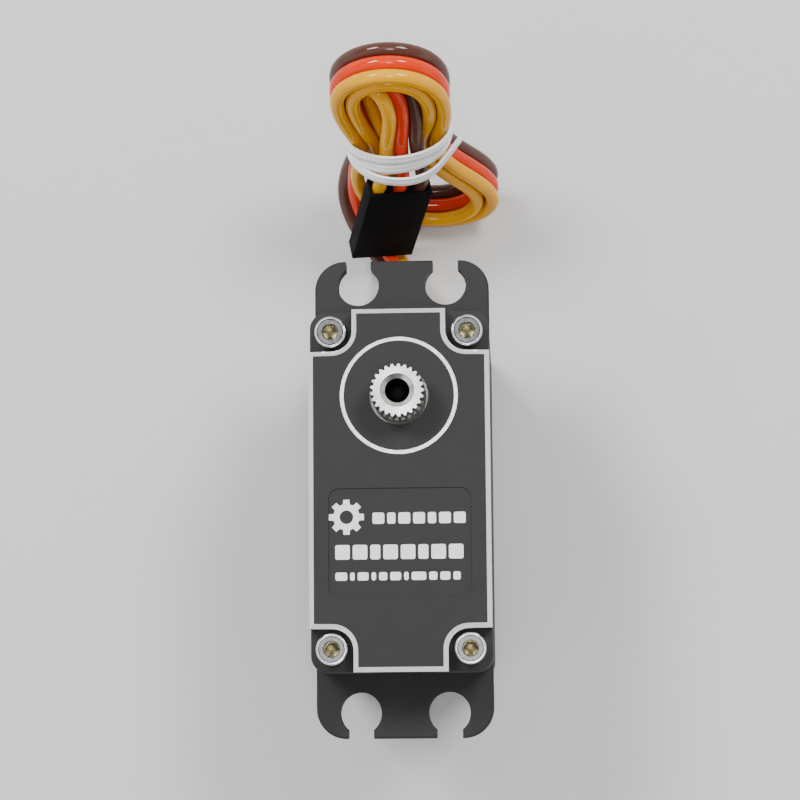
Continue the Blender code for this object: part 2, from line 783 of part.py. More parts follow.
def make_electronics():
    inset = plus_outline(8.0 * MM, 17.0 * MM, 14.2 * MM, 4.5 * MM)
    finish(plate([inset], BOARD_BOTTOM, BOARD_TOP), "control_board", "board_green")
    chips = {
        "microcontroller": ((-3.0, -2.0), (5.0, 5.0)),
        "motor_driver": ((2.0, -10.0), (4.0, 5.0)),
        "voltage_regulator": ((-3.5, -10.0), (3.0, 3.0)),
    }
    under = BOARD_BOTTOM - GAP
    for name, ((x, y), (width, length)) in chips.items():
        low = ((x - width / 2) * MM, (y - length / 2) * MM, under - 0.9 * MM)
        high = ((x + width / 2) * MM, (y + length / 2) * MM, under)
        finish(box(low, high), name, "dark_plastic")
    capacitor = cylinder(2.0 * MM, BOARD_TOP + GAP, 10.5 * MM, 3.2 * MM, 4.6 * MM, 20)
    finish(capacitor, "capacitor", "motor_can")


def make_potentiometer():
    body = [
        (0, 24.3 * MM),
        (3.2 * MM, 24.3 * MM),
        (3.2 * MM, 21.0 * MM),
        (5.2 * MM, 21.0 * MM),
        (5.2 * MM, 15.5 * MM),
        (0, 15.5 * MM),
    ]
    item = turned(body, y=OUTPUT_Y, sides=24)
    well = cylinder(2.2 * MM, 16.6 * MM, 25 * MM, y=OUTPUT_Y, sides=20)
    finish(cut(item, well), "potentiometer_body", "dark_plastic")
    shaft = cylinder(1.8 * MM, 17.0 * MM, 24.2 * MM, y=OUTPUT_Y, sides=20)
    socket = cylinder(STUB_BORE, 22.8 * MM, 25 * MM, y=OUTPUT_Y, sides=16)
    finish(cut(shaft, socket), "potentiometer_shaft", "brass")


def make_grommet():
    neck = box((-2.9 * MM, 17.3 * MM, 5.7 * MM), (2.9 * MM, 21.5 * MM, 8.6 * MM), 0.2 * MM)
    inside = box((-4.0 * MM, 16.4 * MM, 5.0 * MM), (4.0 * MM, 18.1 * MM, 8.7 * MM), 0.2 * MM)
    outside = box((-3.7 * MM, 20.3 * MM, 5.3 * MM), (3.7 * MM, EXIT_Y, 8.7 * MM), 0.4 * MM)
    finish(join(neck, inside, outside), "cable_grommet", "rubber")


# ---------------------------------------------------------------- lead


def hank_frame():
    """Across, up and forward directions of the upright hank, as a placement matrix."""
    up = Vector((0, math.sin(HANK_LEAN), math.cos(HANK_LEAN)))
    forward = Vector((0, -math.cos(HANK_LEAN), math.sin(HANK_LEAN)))
    turn = Matrix((Vector((1, 0, 0)), up, forward)).transposed().to_4x4()
    return Matrix.Translation(HANK_FOOT) @ turn


def hank_spot(across, up, forward):
    return hank_frame() @ (Vector((across, up, forward)) * MM)


def ribbon(points, sides):
    """Three wire routes side by side; a side vector points from the middle to the orange wire."""
    routes = {}
    for wire, share in zip(WIRES, (-1, 0, 1)):
        spots = [
            Vector(point) + share * WIRE_PITCH * Vector(side).normalized()
            for point, side in zip(points, sides)
        ]
        routes[wire] = smooth_route(spots, 3 * MM)
    return routes


def make_runs():
    """From the grommet, down to the surface, under the plug and up the hank's left side."""
    forward = (0, -math.cos(HANK_LEAN), math.sin(HANK_LEAN))
    points = [
        Vector((0, EXIT_Y + GAP, EXIT_Z)),
        Vector((-0.1, 25.5, 6.9)) * MM,
        Vector((-1.0, 29.0, 4.6)) * MM,
        Vector((-2.6, 32.4, 1.5)) * MM,
        Vector((-4.6, 35.4, 1.0)) * MM,
        Vector((-6.2, 38.0, 2.6)) * MM,
        Vector((-6.7, 40.2, 6.4)) * MM,
        hank_spot(-6.0, 11.0, 0),
    ]
    sides = [
        (1, 0, 0),
        (1, 0, 0),
        (0.9, 0.1, 0.3),
        (0.95, 0.2, 0.1),
        (0.9, 0.4, 0),
        (0.75, 0.25, 0.55),
        (0.75, -0.6, 0.5),
        forward,
    ]
    for wire, route in ribbon(points, sides).items():
        tube(f"run_{wire}", route, TUBE_RADIUS, f"wire_{wire}")


def make_hank():
    """The wound part of the lead as one solid of its outer shape: two lobes and a waist."""
    outline = [
        (-1.3, 36.0),
        (-6.0, 34.0),
        (-8.05, 29.0),
        (-7.3, 23.0),
        (-5.6, 18.0),
        (-4.4, 12.0),
        (-4.4, 6.0),
        (-2.6, 0.9),
        (1.0, -0.65),
        (7.0, -0.5),
        (10.8, 2.0),
        (11.8, 6.0),
        (9.9, 11.0),
        (6.6, 15.2),
        (5.0, 18.5),
        (5.6, 24.0),
        (5.6, 29.0),
        (3.6, 34.0),
    ]
    closed = [(x * MM, y * MM, 0) for x, y in outline]
    loop = smooth_route(closed + closed[:1], 2.5 * MM)[:-1]
    hank = plate([[(p.x, p.y) for p in loop]], -HANK_HALF_DEPTH, HANK_HALF_DEPTH)
    hank.matrix_world = hank_frame() @ hank.matrix_world
    finish(hank, "cable_hank", "wire_orange")


def plug_frame():
    """Across, thickness and length directions of the plug, with its wire end at the origin."""
    across = Vector((7.52, 0.77, -2.1))
    across = (across - across.dot(PLUG_AXIS) * PLUG_AXIS).normalized()
    front = PLUG_AXIS.cross(across)
    turn = Matrix((across, front, PLUG_AXIS)).transposed().to_4x4()
    return Matrix.Translation(PLUG_ENTRY) @ turn


def make_tails():
    """From the hank's waist down into the back of the plug."""
    for wire, place_x in zip(WIRES, (1, 0, -1)):
        x = place_x * PLUG_PITCH
        entry = plug_frame() @ Vector((x, 0, -GAP))
        above = plug_frame() @ Vector((x, 0, -1.8 * MM))
        points = [
            hank_spot(place_x * 1.75 - 0.4, 21.5, 3.6),
            hank_spot(place_x * 1.8 - 0.4, 18.2, 3.7),
            above,
            entry,
        ]
        tube(f"tail_{wire}", smooth_route(points, 2 * MM), TUBE_RADIUS, f"wire_{wire}")


def make_plug():
    """A three-way socket housing with a contact in each way."""
    frame = plug_frame()
    low = (-PLUG_HALF_WIDTH, -PLUG_HALF_DEPTH, 0)
    high = (PLUG_HALF_WIDTH, PLUG_HALF_DEPTH, PLUG_LENGTH)
    housing = box(low, high, 0.15 * MM)
    for wire, place_x in zip(WIRES, (1, 0, -1)):
        x = place_x * PLUG_PITCH
        way = 0.7 * MM
        housing = cut(housing, box((x - way, -way, 6 * MM), (x + way, way, PLUG_LENGTH + MM)))
        slim = 0.38 * MM
        contact = box((x - slim, -slim, 6.5 * MM), (x + slim, slim, PLUG_LENGTH - 0.6 * MM))
        contact.matrix_world = frame
        finish(contact, f"contact_{wire}", "brass")
    housing.matrix_world = frame
    finish(housing, "plug_housing", "dark_plastic")


def make_tie():
    """The band round the hank's waist and the wires in front of it."""
    centre = -0.3 * MM
    inner = [(x + centre, y) for x, y in rounded_rectangle(6.4 * MM, 4.5 * MM, 1.2 * MM, 3)]
    outer = [(x + centre, y) for x, y in rounded_rectangle(7.2 * MM, 5.3 * MM, 2.0 * MM, 3)]
    band = plate([outer, inner], TIE_BOTTOM, TIE_TOP)
    upright = Matrix.Rotation(math.radians(-90), 4, "X")
    shift = Matrix.Translation((0, 0, 1.4 * MM))
    band.matrix_world = hank_frame() @ shift @ upright @ band.matrix_world
    finish(band, "twist_tie", "tie_white")


def main():
    clear_scene()
    make_bottom_cover()
    make_middle_case()
    make_top_cover()
    make_case_screws()
    make_idler_pin()
    make_gears()
    make_bearing("upper_bearing", UPPER_BEARING)
    make_bearing("lower_bearing", LOWER_BEARING)
    make_motor()
    make_electronics()
    make_potentiometer()
    make_grommet()
    make_runs()
    make_hank()
    make_tails()
    make_plug()
    make_tie()
    for item in collection("servo_motor").objects:
        if item.type == "MESH":
            smooth(item)


main()
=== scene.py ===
import json
import math

import bmesh
import bpy
import numpy as np
from mathutils import Matrix, Vector


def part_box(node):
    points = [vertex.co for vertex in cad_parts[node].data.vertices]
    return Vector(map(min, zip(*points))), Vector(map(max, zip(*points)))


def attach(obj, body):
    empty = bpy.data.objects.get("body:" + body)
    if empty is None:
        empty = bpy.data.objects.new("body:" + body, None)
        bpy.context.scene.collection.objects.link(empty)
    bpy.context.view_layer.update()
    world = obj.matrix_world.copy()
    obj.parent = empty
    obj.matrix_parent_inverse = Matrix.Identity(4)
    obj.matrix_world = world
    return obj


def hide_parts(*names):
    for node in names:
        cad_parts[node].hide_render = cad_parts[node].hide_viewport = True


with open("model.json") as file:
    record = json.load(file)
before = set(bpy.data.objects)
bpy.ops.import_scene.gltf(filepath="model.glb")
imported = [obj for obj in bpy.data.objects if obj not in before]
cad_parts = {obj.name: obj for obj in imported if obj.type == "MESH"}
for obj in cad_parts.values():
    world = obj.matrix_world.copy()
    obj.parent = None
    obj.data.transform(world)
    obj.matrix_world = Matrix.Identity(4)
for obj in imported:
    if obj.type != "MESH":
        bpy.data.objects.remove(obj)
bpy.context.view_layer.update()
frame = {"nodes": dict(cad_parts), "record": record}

# GAP is the room round shafts, screws and bearings. Points closer than MERGE are welded.
MM = 0.001
GAP = 0.3 * MM
MERGE = 0.01 * MM

# Case
CASE_LOW, CASE_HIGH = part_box("bottom_cover")
CASE_HALF_WIDTH = (CASE_HIGH[0] - CASE_LOW[0]) / 2
CASE_HALF_LENGTH = (CASE_HIGH[1] - CASE_LOW[1]) / 2
CASE_CORNER = 1.8 * MM
EDGE = 0.22 * MM
CASE_FLOOR = 1.6 * MM
DECK_BOTTOM = 24.6 * MM
DECK_TOP = 27.0 * MM
GEAR_CEILING = 34.9 * MM
MOTOR_BAY_RADIUS = 8.3 * MM
MOTOR_BAY_END = 9.0 * MM
GEAR_BAY_RADIUS = 8.5 * MM
MOTOR_GEAR_CEILING = 31.1 * MM
MOTOR_BOSS_HOLE = 2.2 * MM
MOTOR_SCREW_HOLE = 1.1 * MM
MOTOR_SCREW_X = 5.6 * MM
FEEDBACK_HOLE = 1.3 * MM
LOWER_SEAT_RADIUS = 3.3 * MM
LOWER_SEAT_BOTTOM = 25.1 * MM
PIN_HOLE = 1.1 * MM
PIN_BOTTOM = 25.2 * MM
PIN_TOP = 36.6 * MM
SHELF = 35.4 * MM

# Raised plate on the top cover
PLATE_END_HALF = 5.18 * MM
NOTCH_LINE = 15.3 * MM
NOTCH_FILLET = 2.3 * MM
PLATE_CHAMFER = 0.53 * MM
CHAMFER_RISE = 0.8
RING_RADIUS = 6.3 * MM
RING_HALF_WIDTH = 0.22 * MM
RING_DEPTH = 0.08 * MM
LABEL_SIZE = (15.7 * MM, 12.0 * MM)
LABEL_CENTRE_Y = -5.93 * MM
LABEL_CORNER = 1.2 * MM
ENGRAVING_DEPTH = 0.15 * MM
PRINT_THICKNESS = 0.02 * MM

# Mounting ears
EARS_LOW, EARS_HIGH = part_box("middle_case")
EAR_BOTTOM = 25.0 * MM
EAR_TOP = 27.5 * MM
EAR_CORNER = 3.4 * MM
EAR_HOLE_RADIUS = 2.35 * MM
EAR_SLOT_HALF = 1.45 * MM
EAR_HOLE_X = 5.0 * MM
EAR_HOLE_Y = 24.4 * MM

# Case screws
SCREW_NODES = ("front_left", "front_right", "rear_left", "rear_right")
SCREW_HEAD_RADIUS = 1.72 * MM
SCREW_HEAD_HEIGHT = 2.0 * MM
SCREW_RADIUS = 1.0 * MM
SCREW_SOCKET = 0.95 * MM
SCREW_SOCKET_DEPTH = 1.0 * MM
SCREW_DRILL_RADIUS = 0.7 * MM
SCREW_RING_INSET = 0.29 * MM
SCREW_RING_DEPTH = 0.12 * MM

# Output shaft
OUTPUT_Y = sum(corner[1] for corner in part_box("upper_bearing_outer_race")) / 2
IDLER_Y = sum(corner[1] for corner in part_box("idler_pin")) / 2
MOTOR_Y = sum(corner[1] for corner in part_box("motor_can")) / 2
SHAFT_RADIUS = 2.95 * MM
SPLINE_ROOT = 2.6 * MM
SPLINE_TEETH = 25
SPLINE_BOTTOM = 38.8 * MM
SPLINE_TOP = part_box("output_gear")[1][2]
SHAFT_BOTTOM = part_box("output_gear")[0][2]
STUB_RADIUS = 1.0 * MM
LAST_GEAR_BOTTOM = 32.7 * MM
LAST_GEAR_TOP = 34.6 * MM
LAST_GEAR_MODULE = 0.5 * MM
LAST_GEAR_TEETH = 30
PRESSURE_ANGLE = math.radians(25)
ADDENDUM = 0.8
DEDENDUM = 1.05
TOOTH_SHARE = 0.43
HORN_HOLE = 1.3 * MM
HORN_COUNTERSINK = 1.85 * MM
THREAD_PITCH = 0.5 * MM
THREAD_DEPTH = 0.22 * MM
THREAD_TURNS = 9

# Lead. UPPER_LOBE is (across, up, radius) and LOWER_LOBE (across, up), in mm in the hank's plane.
WIRE_RADIUS = 0.85 * MM
WIRE_PITCH = 1.7 * MM
WIRES = ("brown", "red", "orange")
EXIT_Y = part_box("cable_grommet")[1][1] - GAP
EXIT_Z = 7.2 * MM
HANK_LEAN = math.radians(15)
HANK_FOOT = Vector((0, 39.5, 1.55)) * MM
ACROSS = Vector((1, 0, 0))
UP = Vector((0, math.sin(HANK_LEAN), math.cos(HANK_LEAN)))
FORWARD = Vector((0, -math.cos(HANK_LEAN), math.sin(HANK_LEAN)))
PASS_INSET = 1.8
UPPER_LOBE = (-1.15, 28.9, 6.05)
LOWER_LOBE = (3.45, 3.8)
LOWER_TILT = 20
ROUTE_SPACING = 0.6 * MM
SLACK = 0.05 * MM
PLUG_LENGTH = 14.0 * MM
PLUG_HALF_WIDTH = 3.85 * MM
PLUG_HALF_DEPTH = 1.3 * MM
PLUG_PITCH = 2.54 * MM
PLUG_ENTRY = Vector((-0.6, 38.4, 16.4)) * MM
PLUG_AXIS = Vector((-3.0, -5.2, -12.6)).normalized()
TIE_WIDTH = 1.72 * MM
TIE_CORE = 0.36 * MM
TIE_WING = 0.15 * MM

# Finishes
NOISE_RANGE = (0.3, 0.7)
GRAIN_SHARE, PATCH_SHARE = 0.45, 0.6
GLOSS_LOW, GLOSS_HIGH = 0.85, 1.15
LATHE_RELIEF = 0.004 * MM

# Light and camera
LIGHTS_AIM = Vector((0, 0.01, 0.02))
SOFTBOXES = (
    ("key_left", (-0.27, 0.25, 0.52), (0.19, 0.15), 2.8),
    ("key_right", (0.25, 0.27, 0.54), (0.19, 0.15), 2.8),
    ("overhead", (-0.02, 0.09, 0.64), (0.36, 0.36), 0.6),
    ("top", (0.03, -0.09, 0.62), (0.12, 0.12), 0.9),
    ("fill", (-0.5, -0.35, 0.6), (0.6, 0.6), 0.9),
    ("fill_right", (0.6, -0.1, 0.5), (0.5, 0.5), 0.3),
)
SKY_HEIGHTS = (0.25, 0.5)
SKY_STRENGTHS = (1.25, 0.1)
CAMERA_LENS = 116.3
CAMERA_SPOT = Vector((12.15, -26.21, 319.89)) * MM
CAMERA_TURNS = ((7.27, "X"), (2.42, "Y"), (-0.79, "Z"))
FLOOR_REACH = 1.5


# ---- objects


def place(item):
    bpy.context.scene.collection.objects.link(item)
    return item


def as_mesh(item):
    """The object's evaluated shape as a welded mesh object, in place of the original."""
    graph = bpy.context.evaluated_depsgraph_get()
    mesh = bpy.data.meshes.new_from_object(item.evaluated_get(graph))
    mesh.transform(item.matrix_world)
    solid = place(bpy.data.objects.new(item.name, mesh))
    bpy.data.objects.remove(item)
    work = bmesh.new()
    work.from_mesh(mesh)
    bmesh.ops.remove_doubles(work, verts=work.verts, dist=MERGE)
    bmesh.ops.recalc_face_normals(work, faces=work.faces)
    work.to_mesh(mesh)
    work.free()
    return solid


def combine(base, tool, operation):
    change = base.modifiers.new(operation.lower(), "BOOLEAN")
    change.object = tool
    change.operation = operation
    change.solver = "EXACT"
    bpy.context.view_layer.update()
    solid = as_mesh(base)
    bpy.data.objects.remove(tool)
    return solid


def cut(base, *tools):
    for tool in tools:
        base = combine(base, tool, "DIFFERENCE")
    return base


def join(base, *tools):
    for tool in tools:
        base = combine(base, tool, "UNION")
    return base


def merged(first, second):
    """Two separate shapes as one mesh."""
    work = bmesh.new()
    work.from_mesh(first.data)
    shift = second.data.copy()
    shift.transform(first.matrix_world.inverted() @ second.matrix_world)
    work.from_mesh(shift)
    work.to_mesh(first.data)
    work.free()
    bpy.data.objects.remove(second)
    return first


def mesh_object(name, points, faces):
    mesh = bpy.data.meshes.new(name)
    mesh.from_pydata([tuple(p) for p in points], [], faces)
    mesh.update()
    return place(bpy.data.objects.new(name, mesh))


def piece(item, name, body, slot_name, materials, *nodes, sharp=32):
    """Names and finishes a piece, and ties it to its body and the CAD nodes it stands for."""
    item.name = name
    item.data.name = name
    item.data.materials.clear()
    for made in materials:
        item.data.materials.append(made)
    if item.type == "MESH":
        item.data.shade_smooth()
        item.data.set_sharp_from_angle(angle=math.radians(sharp))
    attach(item, body)
    if nodes:
        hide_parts(*nodes)
    return item


# ---- shapes


def arc(centre_x, centre_y, radius, start, end, steps):
    angles = [math.radians(start + (end - start) * i / steps) for i in range(steps + 1)]
    return [(centre_x + radius * math.cos(a), centre_y + radius * math.sin(a)) for a in angles]


def rounded_rectangle(half_x, half_y, radius, steps=8, centre=(0.0, 0.0)):
    points = []
    for side_x, side_y, start in ((1, 1, 0), (-1, 1, 90), (-1, -1, 180), (1, -1, 270)):
        middle_x = centre[0] + side_x * (half_x - radius)
        middle_y = centre[1] + side_y * (half_y - radius)
        points += arc(middle_x, middle_y, radius, start, start + 90, steps)
    return points


def plate(loops, bottom, top, bevel=0.0, rounds=0):
    """A flat outline, with any holes as further loops, between two heights."""
    shape = bpy.data.curves.new("plate", "CURVE")
    shape.dimensions = "2D"
    shape.fill_mode = "BOTH"
    shape.extrude = (top - bottom) / 2 - bevel
    shape.bevel_depth = bevel
    shape.bevel_resolution = rounds
    shape.offset = -bevel
    for loop in loops:
        spline = shape.splines.new("POLY")
        spline.points.add(len(loop) - 1)
        for point, (x, y) in zip(spline.points, loop):
            point.co = (x, y, 0, 1)
        spline.use_cyclic_u = True
    item = place(bpy.data.objects.new("plate", shape))
    item.location = (0, 0, (top + bottom) / 2)
    bpy.context.view_layer.update()
    return as_mesh(item)


def turned(profile, x=0.0, y=0.0, sides=64, closed=False, ripple=()):
    """A profile of (radius, height) points turned about a vertical axis.

    ripple gives a depth for each profile point; every second side is sunk by it, for a knurl.
    """
    depths = list(ripple) or [0.0] * len(profile)
    points, rows = [], []
    for (radius, height), depth in zip(profile, depths):
        if radius == 0:
            rows.append([len(points)] * sides)
            points.append((x, y, height))
            continue
        rows.append([len(points) + k for k in range(sides)])
        for k in range(sides):
            angle = 2 * math.pi * k / sides
            reach = radius - depth * (k % 2)
            points.append((x + reach * math.cos(angle), y + reach * math.sin(angle), height))
    pairs = list(zip(rows, rows[1:]))
    if closed:
        pairs.append((rows[-1], rows[0]))
    faces = []
    for first, second in pairs:
        for k in range(sides):
            n = (k + 1) % sides
            corners = list(dict.fromkeys((first[k], first[n], second[n], second[k])))
            if len(corners) > 2:
                faces.append(corners)
    item = mesh_object("turned", points, faces)
    return as_mesh(item)


def cylinder(radius, bottom, top, x=0.0, y=0.0, sides=48):
    return turned([(0, top), (radius, top), (radius, bottom), (0, bottom)], x, y, sides)


def box(low, high, bevel=0.0, rounds=2):
    low, high = Vector(low), Vector(high)
    work = bmesh.new()
    bmesh.ops.create_cube(work, size=1.0)
    bmesh.ops.scale(work, vec=high - low, verts=work.verts)
    bmesh.ops.translate(work, vec=(low + high) / 2, verts=work.verts)
    if bevel:
        bmesh.ops.bevel(
            work, geom=work.edges, offset=bevel, segments=rounds, profile=0.5, affect="EDGES"
        )
    mesh = bpy.data.meshes.new("box")
    work.to_mesh(mesh)
    work.free()
    return place(bpy.data.objects.new("box", mesh))


def smooth_route(points, spacing):
    """A Catmull-Rom curve through the given points, sampled at about the spacing."""
    spots = [Vector(p) for p in points]
    spots = [2 * spots[0] - spots[1]] + spots + [2 * spots[-1] - spots[-2]]
    fine = []
    for i in range(1, len(spots) - 2):
        a, b, c, d = spots[i - 1 : i + 3]
        count = max(1, round((c - b).length / spacing))
        for k in range(count):
            t = k / count
            bend = (2 * a - 5 * b + 4 * c - d) * t**2 + (3 * b - a - 3 * c + d) * t**3
            fine.append(0.5 * (2 * b + (c - a) * t + bend))
    fine.append(spots[-2])
    return fine


# ---- materials


def noise(tree, coordinates, size, detail=3.0):
    made = tree.nodes.new("ShaderNodeTexNoise")
    made.inputs["Scale"].default_value = 1 / size
    made.inputs["Detail"].default_value = detail
    tree.links.new(coordinates, made.inputs["Vector"])
    return made.outputs["Fac"]


def mapped(tree, value, source, target, interpolation="LINEAR"):
    """The value, with its source range spread over the target range."""
    made = tree.nodes.new("ShaderNodeMapRange")
    made.interpolation_type = interpolation
    sockets = ("From Min", "From Max", "To Min", "To Max")
    for socket, end in zip(sockets, (*source, *target)):
        made.inputs[socket].default_value = end
    tree.links.new(value, made.inputs["Value"])
    return made.outputs["Result"]


def bump(tree, height, depth, below=None):
    made = tree.nodes.new("ShaderNodeBump")
    made.inputs["Strength"].default_value = 1.0
    made.inputs["Distance"].default_value = depth
    tree.links.new(height, made.inputs["Height"])
    if below is not None:
        tree.links.new(below, made.inputs["Normal"])
    return made.outputs["Normal"]


def stretched(tree, coordinates, scale):
    made = tree.nodes.new("ShaderNodeMapping")
    made.inputs["Scale"].default_value = scale
    tree.links.new(coordinates, made.inputs["Vector"])
    return made.outputs["Vector"]


def lathe_lines(tree, coordinates, axis_y, pitch):
    """Rings round an upright axis, their pitch in mm. A wave of scale 1 repeats every pi / 10."""
    shift = tree.nodes.new("ShaderNodeMapping")
    shift.inputs["Location"].default_value = (0, -axis_y, 0)
    tree.links.new(coordinates, shift.inputs["Vector"])
    made = tree.nodes.new("ShaderNodeTexWave")
    made.wave_type = "RINGS"
    made.rings_direction = "Z"
    made.inputs["Scale"].default_value = math.pi / (10 * pitch * MM)
    made.inputs["Distortion"].default_value = 1.5
    made.inputs["Detail Scale"].default_value = 0.3
    tree.links.new(shift.outputs["Vector"], made.inputs["Vector"])
    return made.outputs["Fac"]


def surface(
    name, colour, roughness, metallic, mottle, patch, grain, relief,
    unevenness=0.0, lathe=None, brush=None, tint=None, **sockets,
):
    """A procedural finish: colour and gloss vary in patches, over a relief of fine grain.

    mottle is how far the colour varies, and tint a lighter colour in its place. patch and grain
    are sizes, relief and unevenness the depths of grain and patches, all in mm. lathe is the y of
    the turning marks and their pitch in mm, and brush stretches the grain.
    """
    made = bpy.data.materials.new(name)
    made.use_nodes = True
    tree = made.node_tree
    shader = tree.nodes["Principled BSDF"]
    coordinates = tree.nodes.new("ShaderNodeTexCoord").outputs["Object"]
    patches = noise(tree, coordinates, patch * MM)
    fine = stretched(tree, coordinates, brush) if brush else coordinates
    grains = noise(tree, fine, grain * MM, 2.0)

    blend = tree.nodes.new("ShaderNodeMixRGB")
    blend.inputs["Color1"].default_value = (*(c * (1 - mottle) for c in colour), 1)
    lighter = tint or [min(1.0, c * (1 + mottle)) for c in colour]
    blend.inputs["Color2"].default_value = (*lighter, 1)
    both = tree.nodes.new("ShaderNodeMath")
    both.operation = "MULTIPLY_ADD"
    both.inputs[1].default_value = GRAIN_SHARE
    tree.links.new(grains, both.inputs[0])
    tree.links.new(mapped(tree, patches, NOISE_RANGE, (0.0, PATCH_SHARE)), both.inputs[2])
    tree.links.new(both.outputs[0], blend.inputs["Fac"])
    tree.links.new(blend.outputs["Color"], shader.inputs["Base Color"])

    ends = (roughness * GLOSS_LOW, min(1.0, roughness * GLOSS_HIGH))
    gloss = mapped(tree, patches, NOISE_RANGE, ends)
    tree.links.new(gloss, shader.inputs["Roughness"])
    shader.inputs["Metallic"].default_value = metallic

    normal = bump(tree, grains, relief * MM)
    if unevenness:
        swells = noise(tree, coordinates, patch * MM, 1.0)
        normal = bump(tree, swells, unevenness * MM, normal)
    if lathe:
        normal = bump(tree, lathe_lines(tree, coordinates, *lathe), LATHE_RELIEF, normal)
    tree.links.new(normal, shader.inputs["Normal"])
    for socket, value in sockets.items():
        shader.inputs[socket.replace("_", " ").title().replace("Ior", "IOR")].default_value = value
    return made


def seen_metals():
    return {
        "case": surface(
            "black_anodised", (0.02, 0.0203, 0.021), 0.6, 0.0, 0.2, 2.5, 0.11, 0.012,
            tint=(0.031, 0.0313, 0.0325), specular_ior_level=0.2,
        ),
        "cut": surface("cut_aluminium", (0.95, 0.95, 0.92), 0.26, 1.0, 0.14, 0.7, 0.1, 0.003),
        "screw": surface(
            "screw_steel", (0.72, 0.72, 0.73), 0.22, 1.0, 0.12, 0.6, 0.09, 0.002, lathe=(0, 0.12)
        ),
        # The flat face is the rim's steel made darker: painted shade.
        "screw_face": surface(
            "screw_face_steel", (0.15, 0.15, 0.155), 0.3, 1.0, 0.35, 0.35, 0.09, 0.008
        ),
        # The socket's steel is darkened as painted shade in the hexagon recess.
        "socket": surface("socket_steel", (0.1, 0.088, 0.045), 0.26, 1.0, 0.4, 0.3, 0.09, 0.01),
        "shaft": surface(
            "shaft_steel", (0.86, 0.85, 0.82), 0.24, 1.0, 0.12, 0.8, 0.1, 0.003,
            lathe=(OUTPUT_Y, 0.11),
        ),
        # Darker steel as painted shade on the spline's sides and low shoulder.
        "spline": surface("spline_steel", (0.16, 0.157, 0.148), 0.34, 1.0, 0.25, 0.5, 0.1, 0.006),
        # Near-black steel as painted shade in the threaded hole and the screw face's ring groove.
        "thread": surface("thread_steel", (0.012, 0.0115, 0.01), 0.5, 1.0, 0.25, 0.5, 0.1, 0.006),
    }


def inner_metals():
    along_x, along_z = (0.08, 1, 1), (1, 1, 0.08)
    return {
        "gear_steel": surface("gear_steel", (0.56, 0.54, 0.5), 0.32, 1.0, 0.15, 1.2, 0.1, 0.004),
        "bright_steel": surface(
            "bright_steel", (0.68, 0.68, 0.67), 0.25, 1.0, 0.12, 1.5, 0.1, 0.003, brush=along_z
        ),
        "brass": surface("brass", (0.75, 0.56, 0.25), 0.3, 1.0, 0.15, 0.8, 0.08, 0.004),
        "motor_can": surface(
            "nickel_plate", (0.62, 0.61, 0.58), 0.26, 1.0, 0.1, 3, 0.12, 0.004,
            unevenness=0.01, brush=along_x,
        ),
        "magnet": surface("sintered_magnet", (0.11, 0.11, 0.12), 0.6, 0.35, 0.22, 1.0, 0.12, 0.02),
        "copper": surface(
            "copper_winding", (0.66, 0.29, 0.13), 0.36, 0.9, 0.25, 1.5, 0.3, 0.05, brush=along_z
        ),
    }


def plastics():
    return {
        "dark_plastic": surface(
            "black_plastic", (0.005, 0.005, 0.0053), 0.72, 0.0, 0.25, 2.2, 0.16, 0.01,
            specular_ior_level=0.05,
        ),
        "board_green": surface(
            "solder_mask", (0.02, 0.16, 0.07), 0.34, 0.0, 0.3, 1.4, 0.25, 0.01,
            coat_weight=0.5, coat_roughness=0.2,
        ),
        "rubber": surface(
            "black_rubber", (0.012, 0.012, 0.012), 0.68, 0.0, 0.25, 1.6, 0.14, 0.014
        ),
        "tie_white": surface(
            "white_plastic", (0.9, 0.9, 0.91), 0.36, 0.0, 0.06, 2, 0.4, 0.01,
            unevenness=0.03, subsurface_weight=0.15, subsurface_scale=0.4 * MM,
        ),
        "print": surface("white_print", (0.83, 0.83, 0.83), 0.5, 0.0, 0.08, 1.0, 0.1, 0.006),
    }


def wire_insulation():
    colours = {
        "brown": (0.092, 0.036, 0.026),
        "red": (0.7, 0.035, 0.002),
        "orange": (0.74, 0.34, 0.0),
    }
    return {
        wire: surface(
            f"{wire}_insulation", colour, 0.34, 0.0, 0.1, 2.4, 0.5, 0.004,
            unevenness=0.05, coat_weight=0.7, coat_roughness=0.06, specular_ior_level=0.0,
        )
        for wire, colour in colours.items()
    }


def make_materials():
    """Every finish by a short name, by which the CAD nodes that stay also find theirs."""
    return {**seen_metals(), **inner_metals(), **plastics(), **wire_insulation()}


# ---- lead


def hank_point(across, up, forward=0.0):
    return HANK_FOOT + (ACROSS * across + UP * up + FORWARD * forward) * MM


def wound_pass(k):
    """One pass of the hank, as (across, up, forward) in mm and the ribbon's tilt in degrees.

    It runs from the left waist over the top, down the right side and round the lower lobe,
    inside the pass before. The ribbon stands square to the hank, and lies flat on the ground.
    """
    inset = PASS_INSET * k
    square = math.degrees(HANK_LEAN)
    spots = [(-5.0 + inset, 17.6, 0.0, square), (-6.3 + inset, 22.3, 0.0, square)]
    across, up, radius = UPPER_LOBE
    for spot in arc(across, up, radius - inset, 180, 0, 6):
        spots.append((*spot, 0.0, square))
    spots += [
        (4.72 - inset, 24.2, 0.0, square),
        (3.8 - inset, 18.6, 0.0, square),
        (5.1 - inset, 14.0, 0.2, LOWER_TILT),
        (7.18 - 0.85 * inset, 11.3 - 0.65 * inset, 0.4, 22),
    ]
    across, up = LOWER_LOBE
    half_width, drop, rise = 7.0 - inset, 3.95 - inset, 8.0 - 1.25 * inset
    for angle in (38, 12, -12, -40, -65, -90, -115, -145, -176):
        turn = math.radians(angle)
        height = math.sin(turn) * (rise if angle > 0 else drop)
        low = max(0.0, -math.sin(turn))
        reach = half_width * math.cos(turn)
        forward = 0.4 + (0.3 + 0.7 * k) * low
        spots.append((across + reach, up + height, forward, LOWER_TILT * (1 - low)))
    return spots + [(-3.75 + inset, 10.0, 0.0, square)]


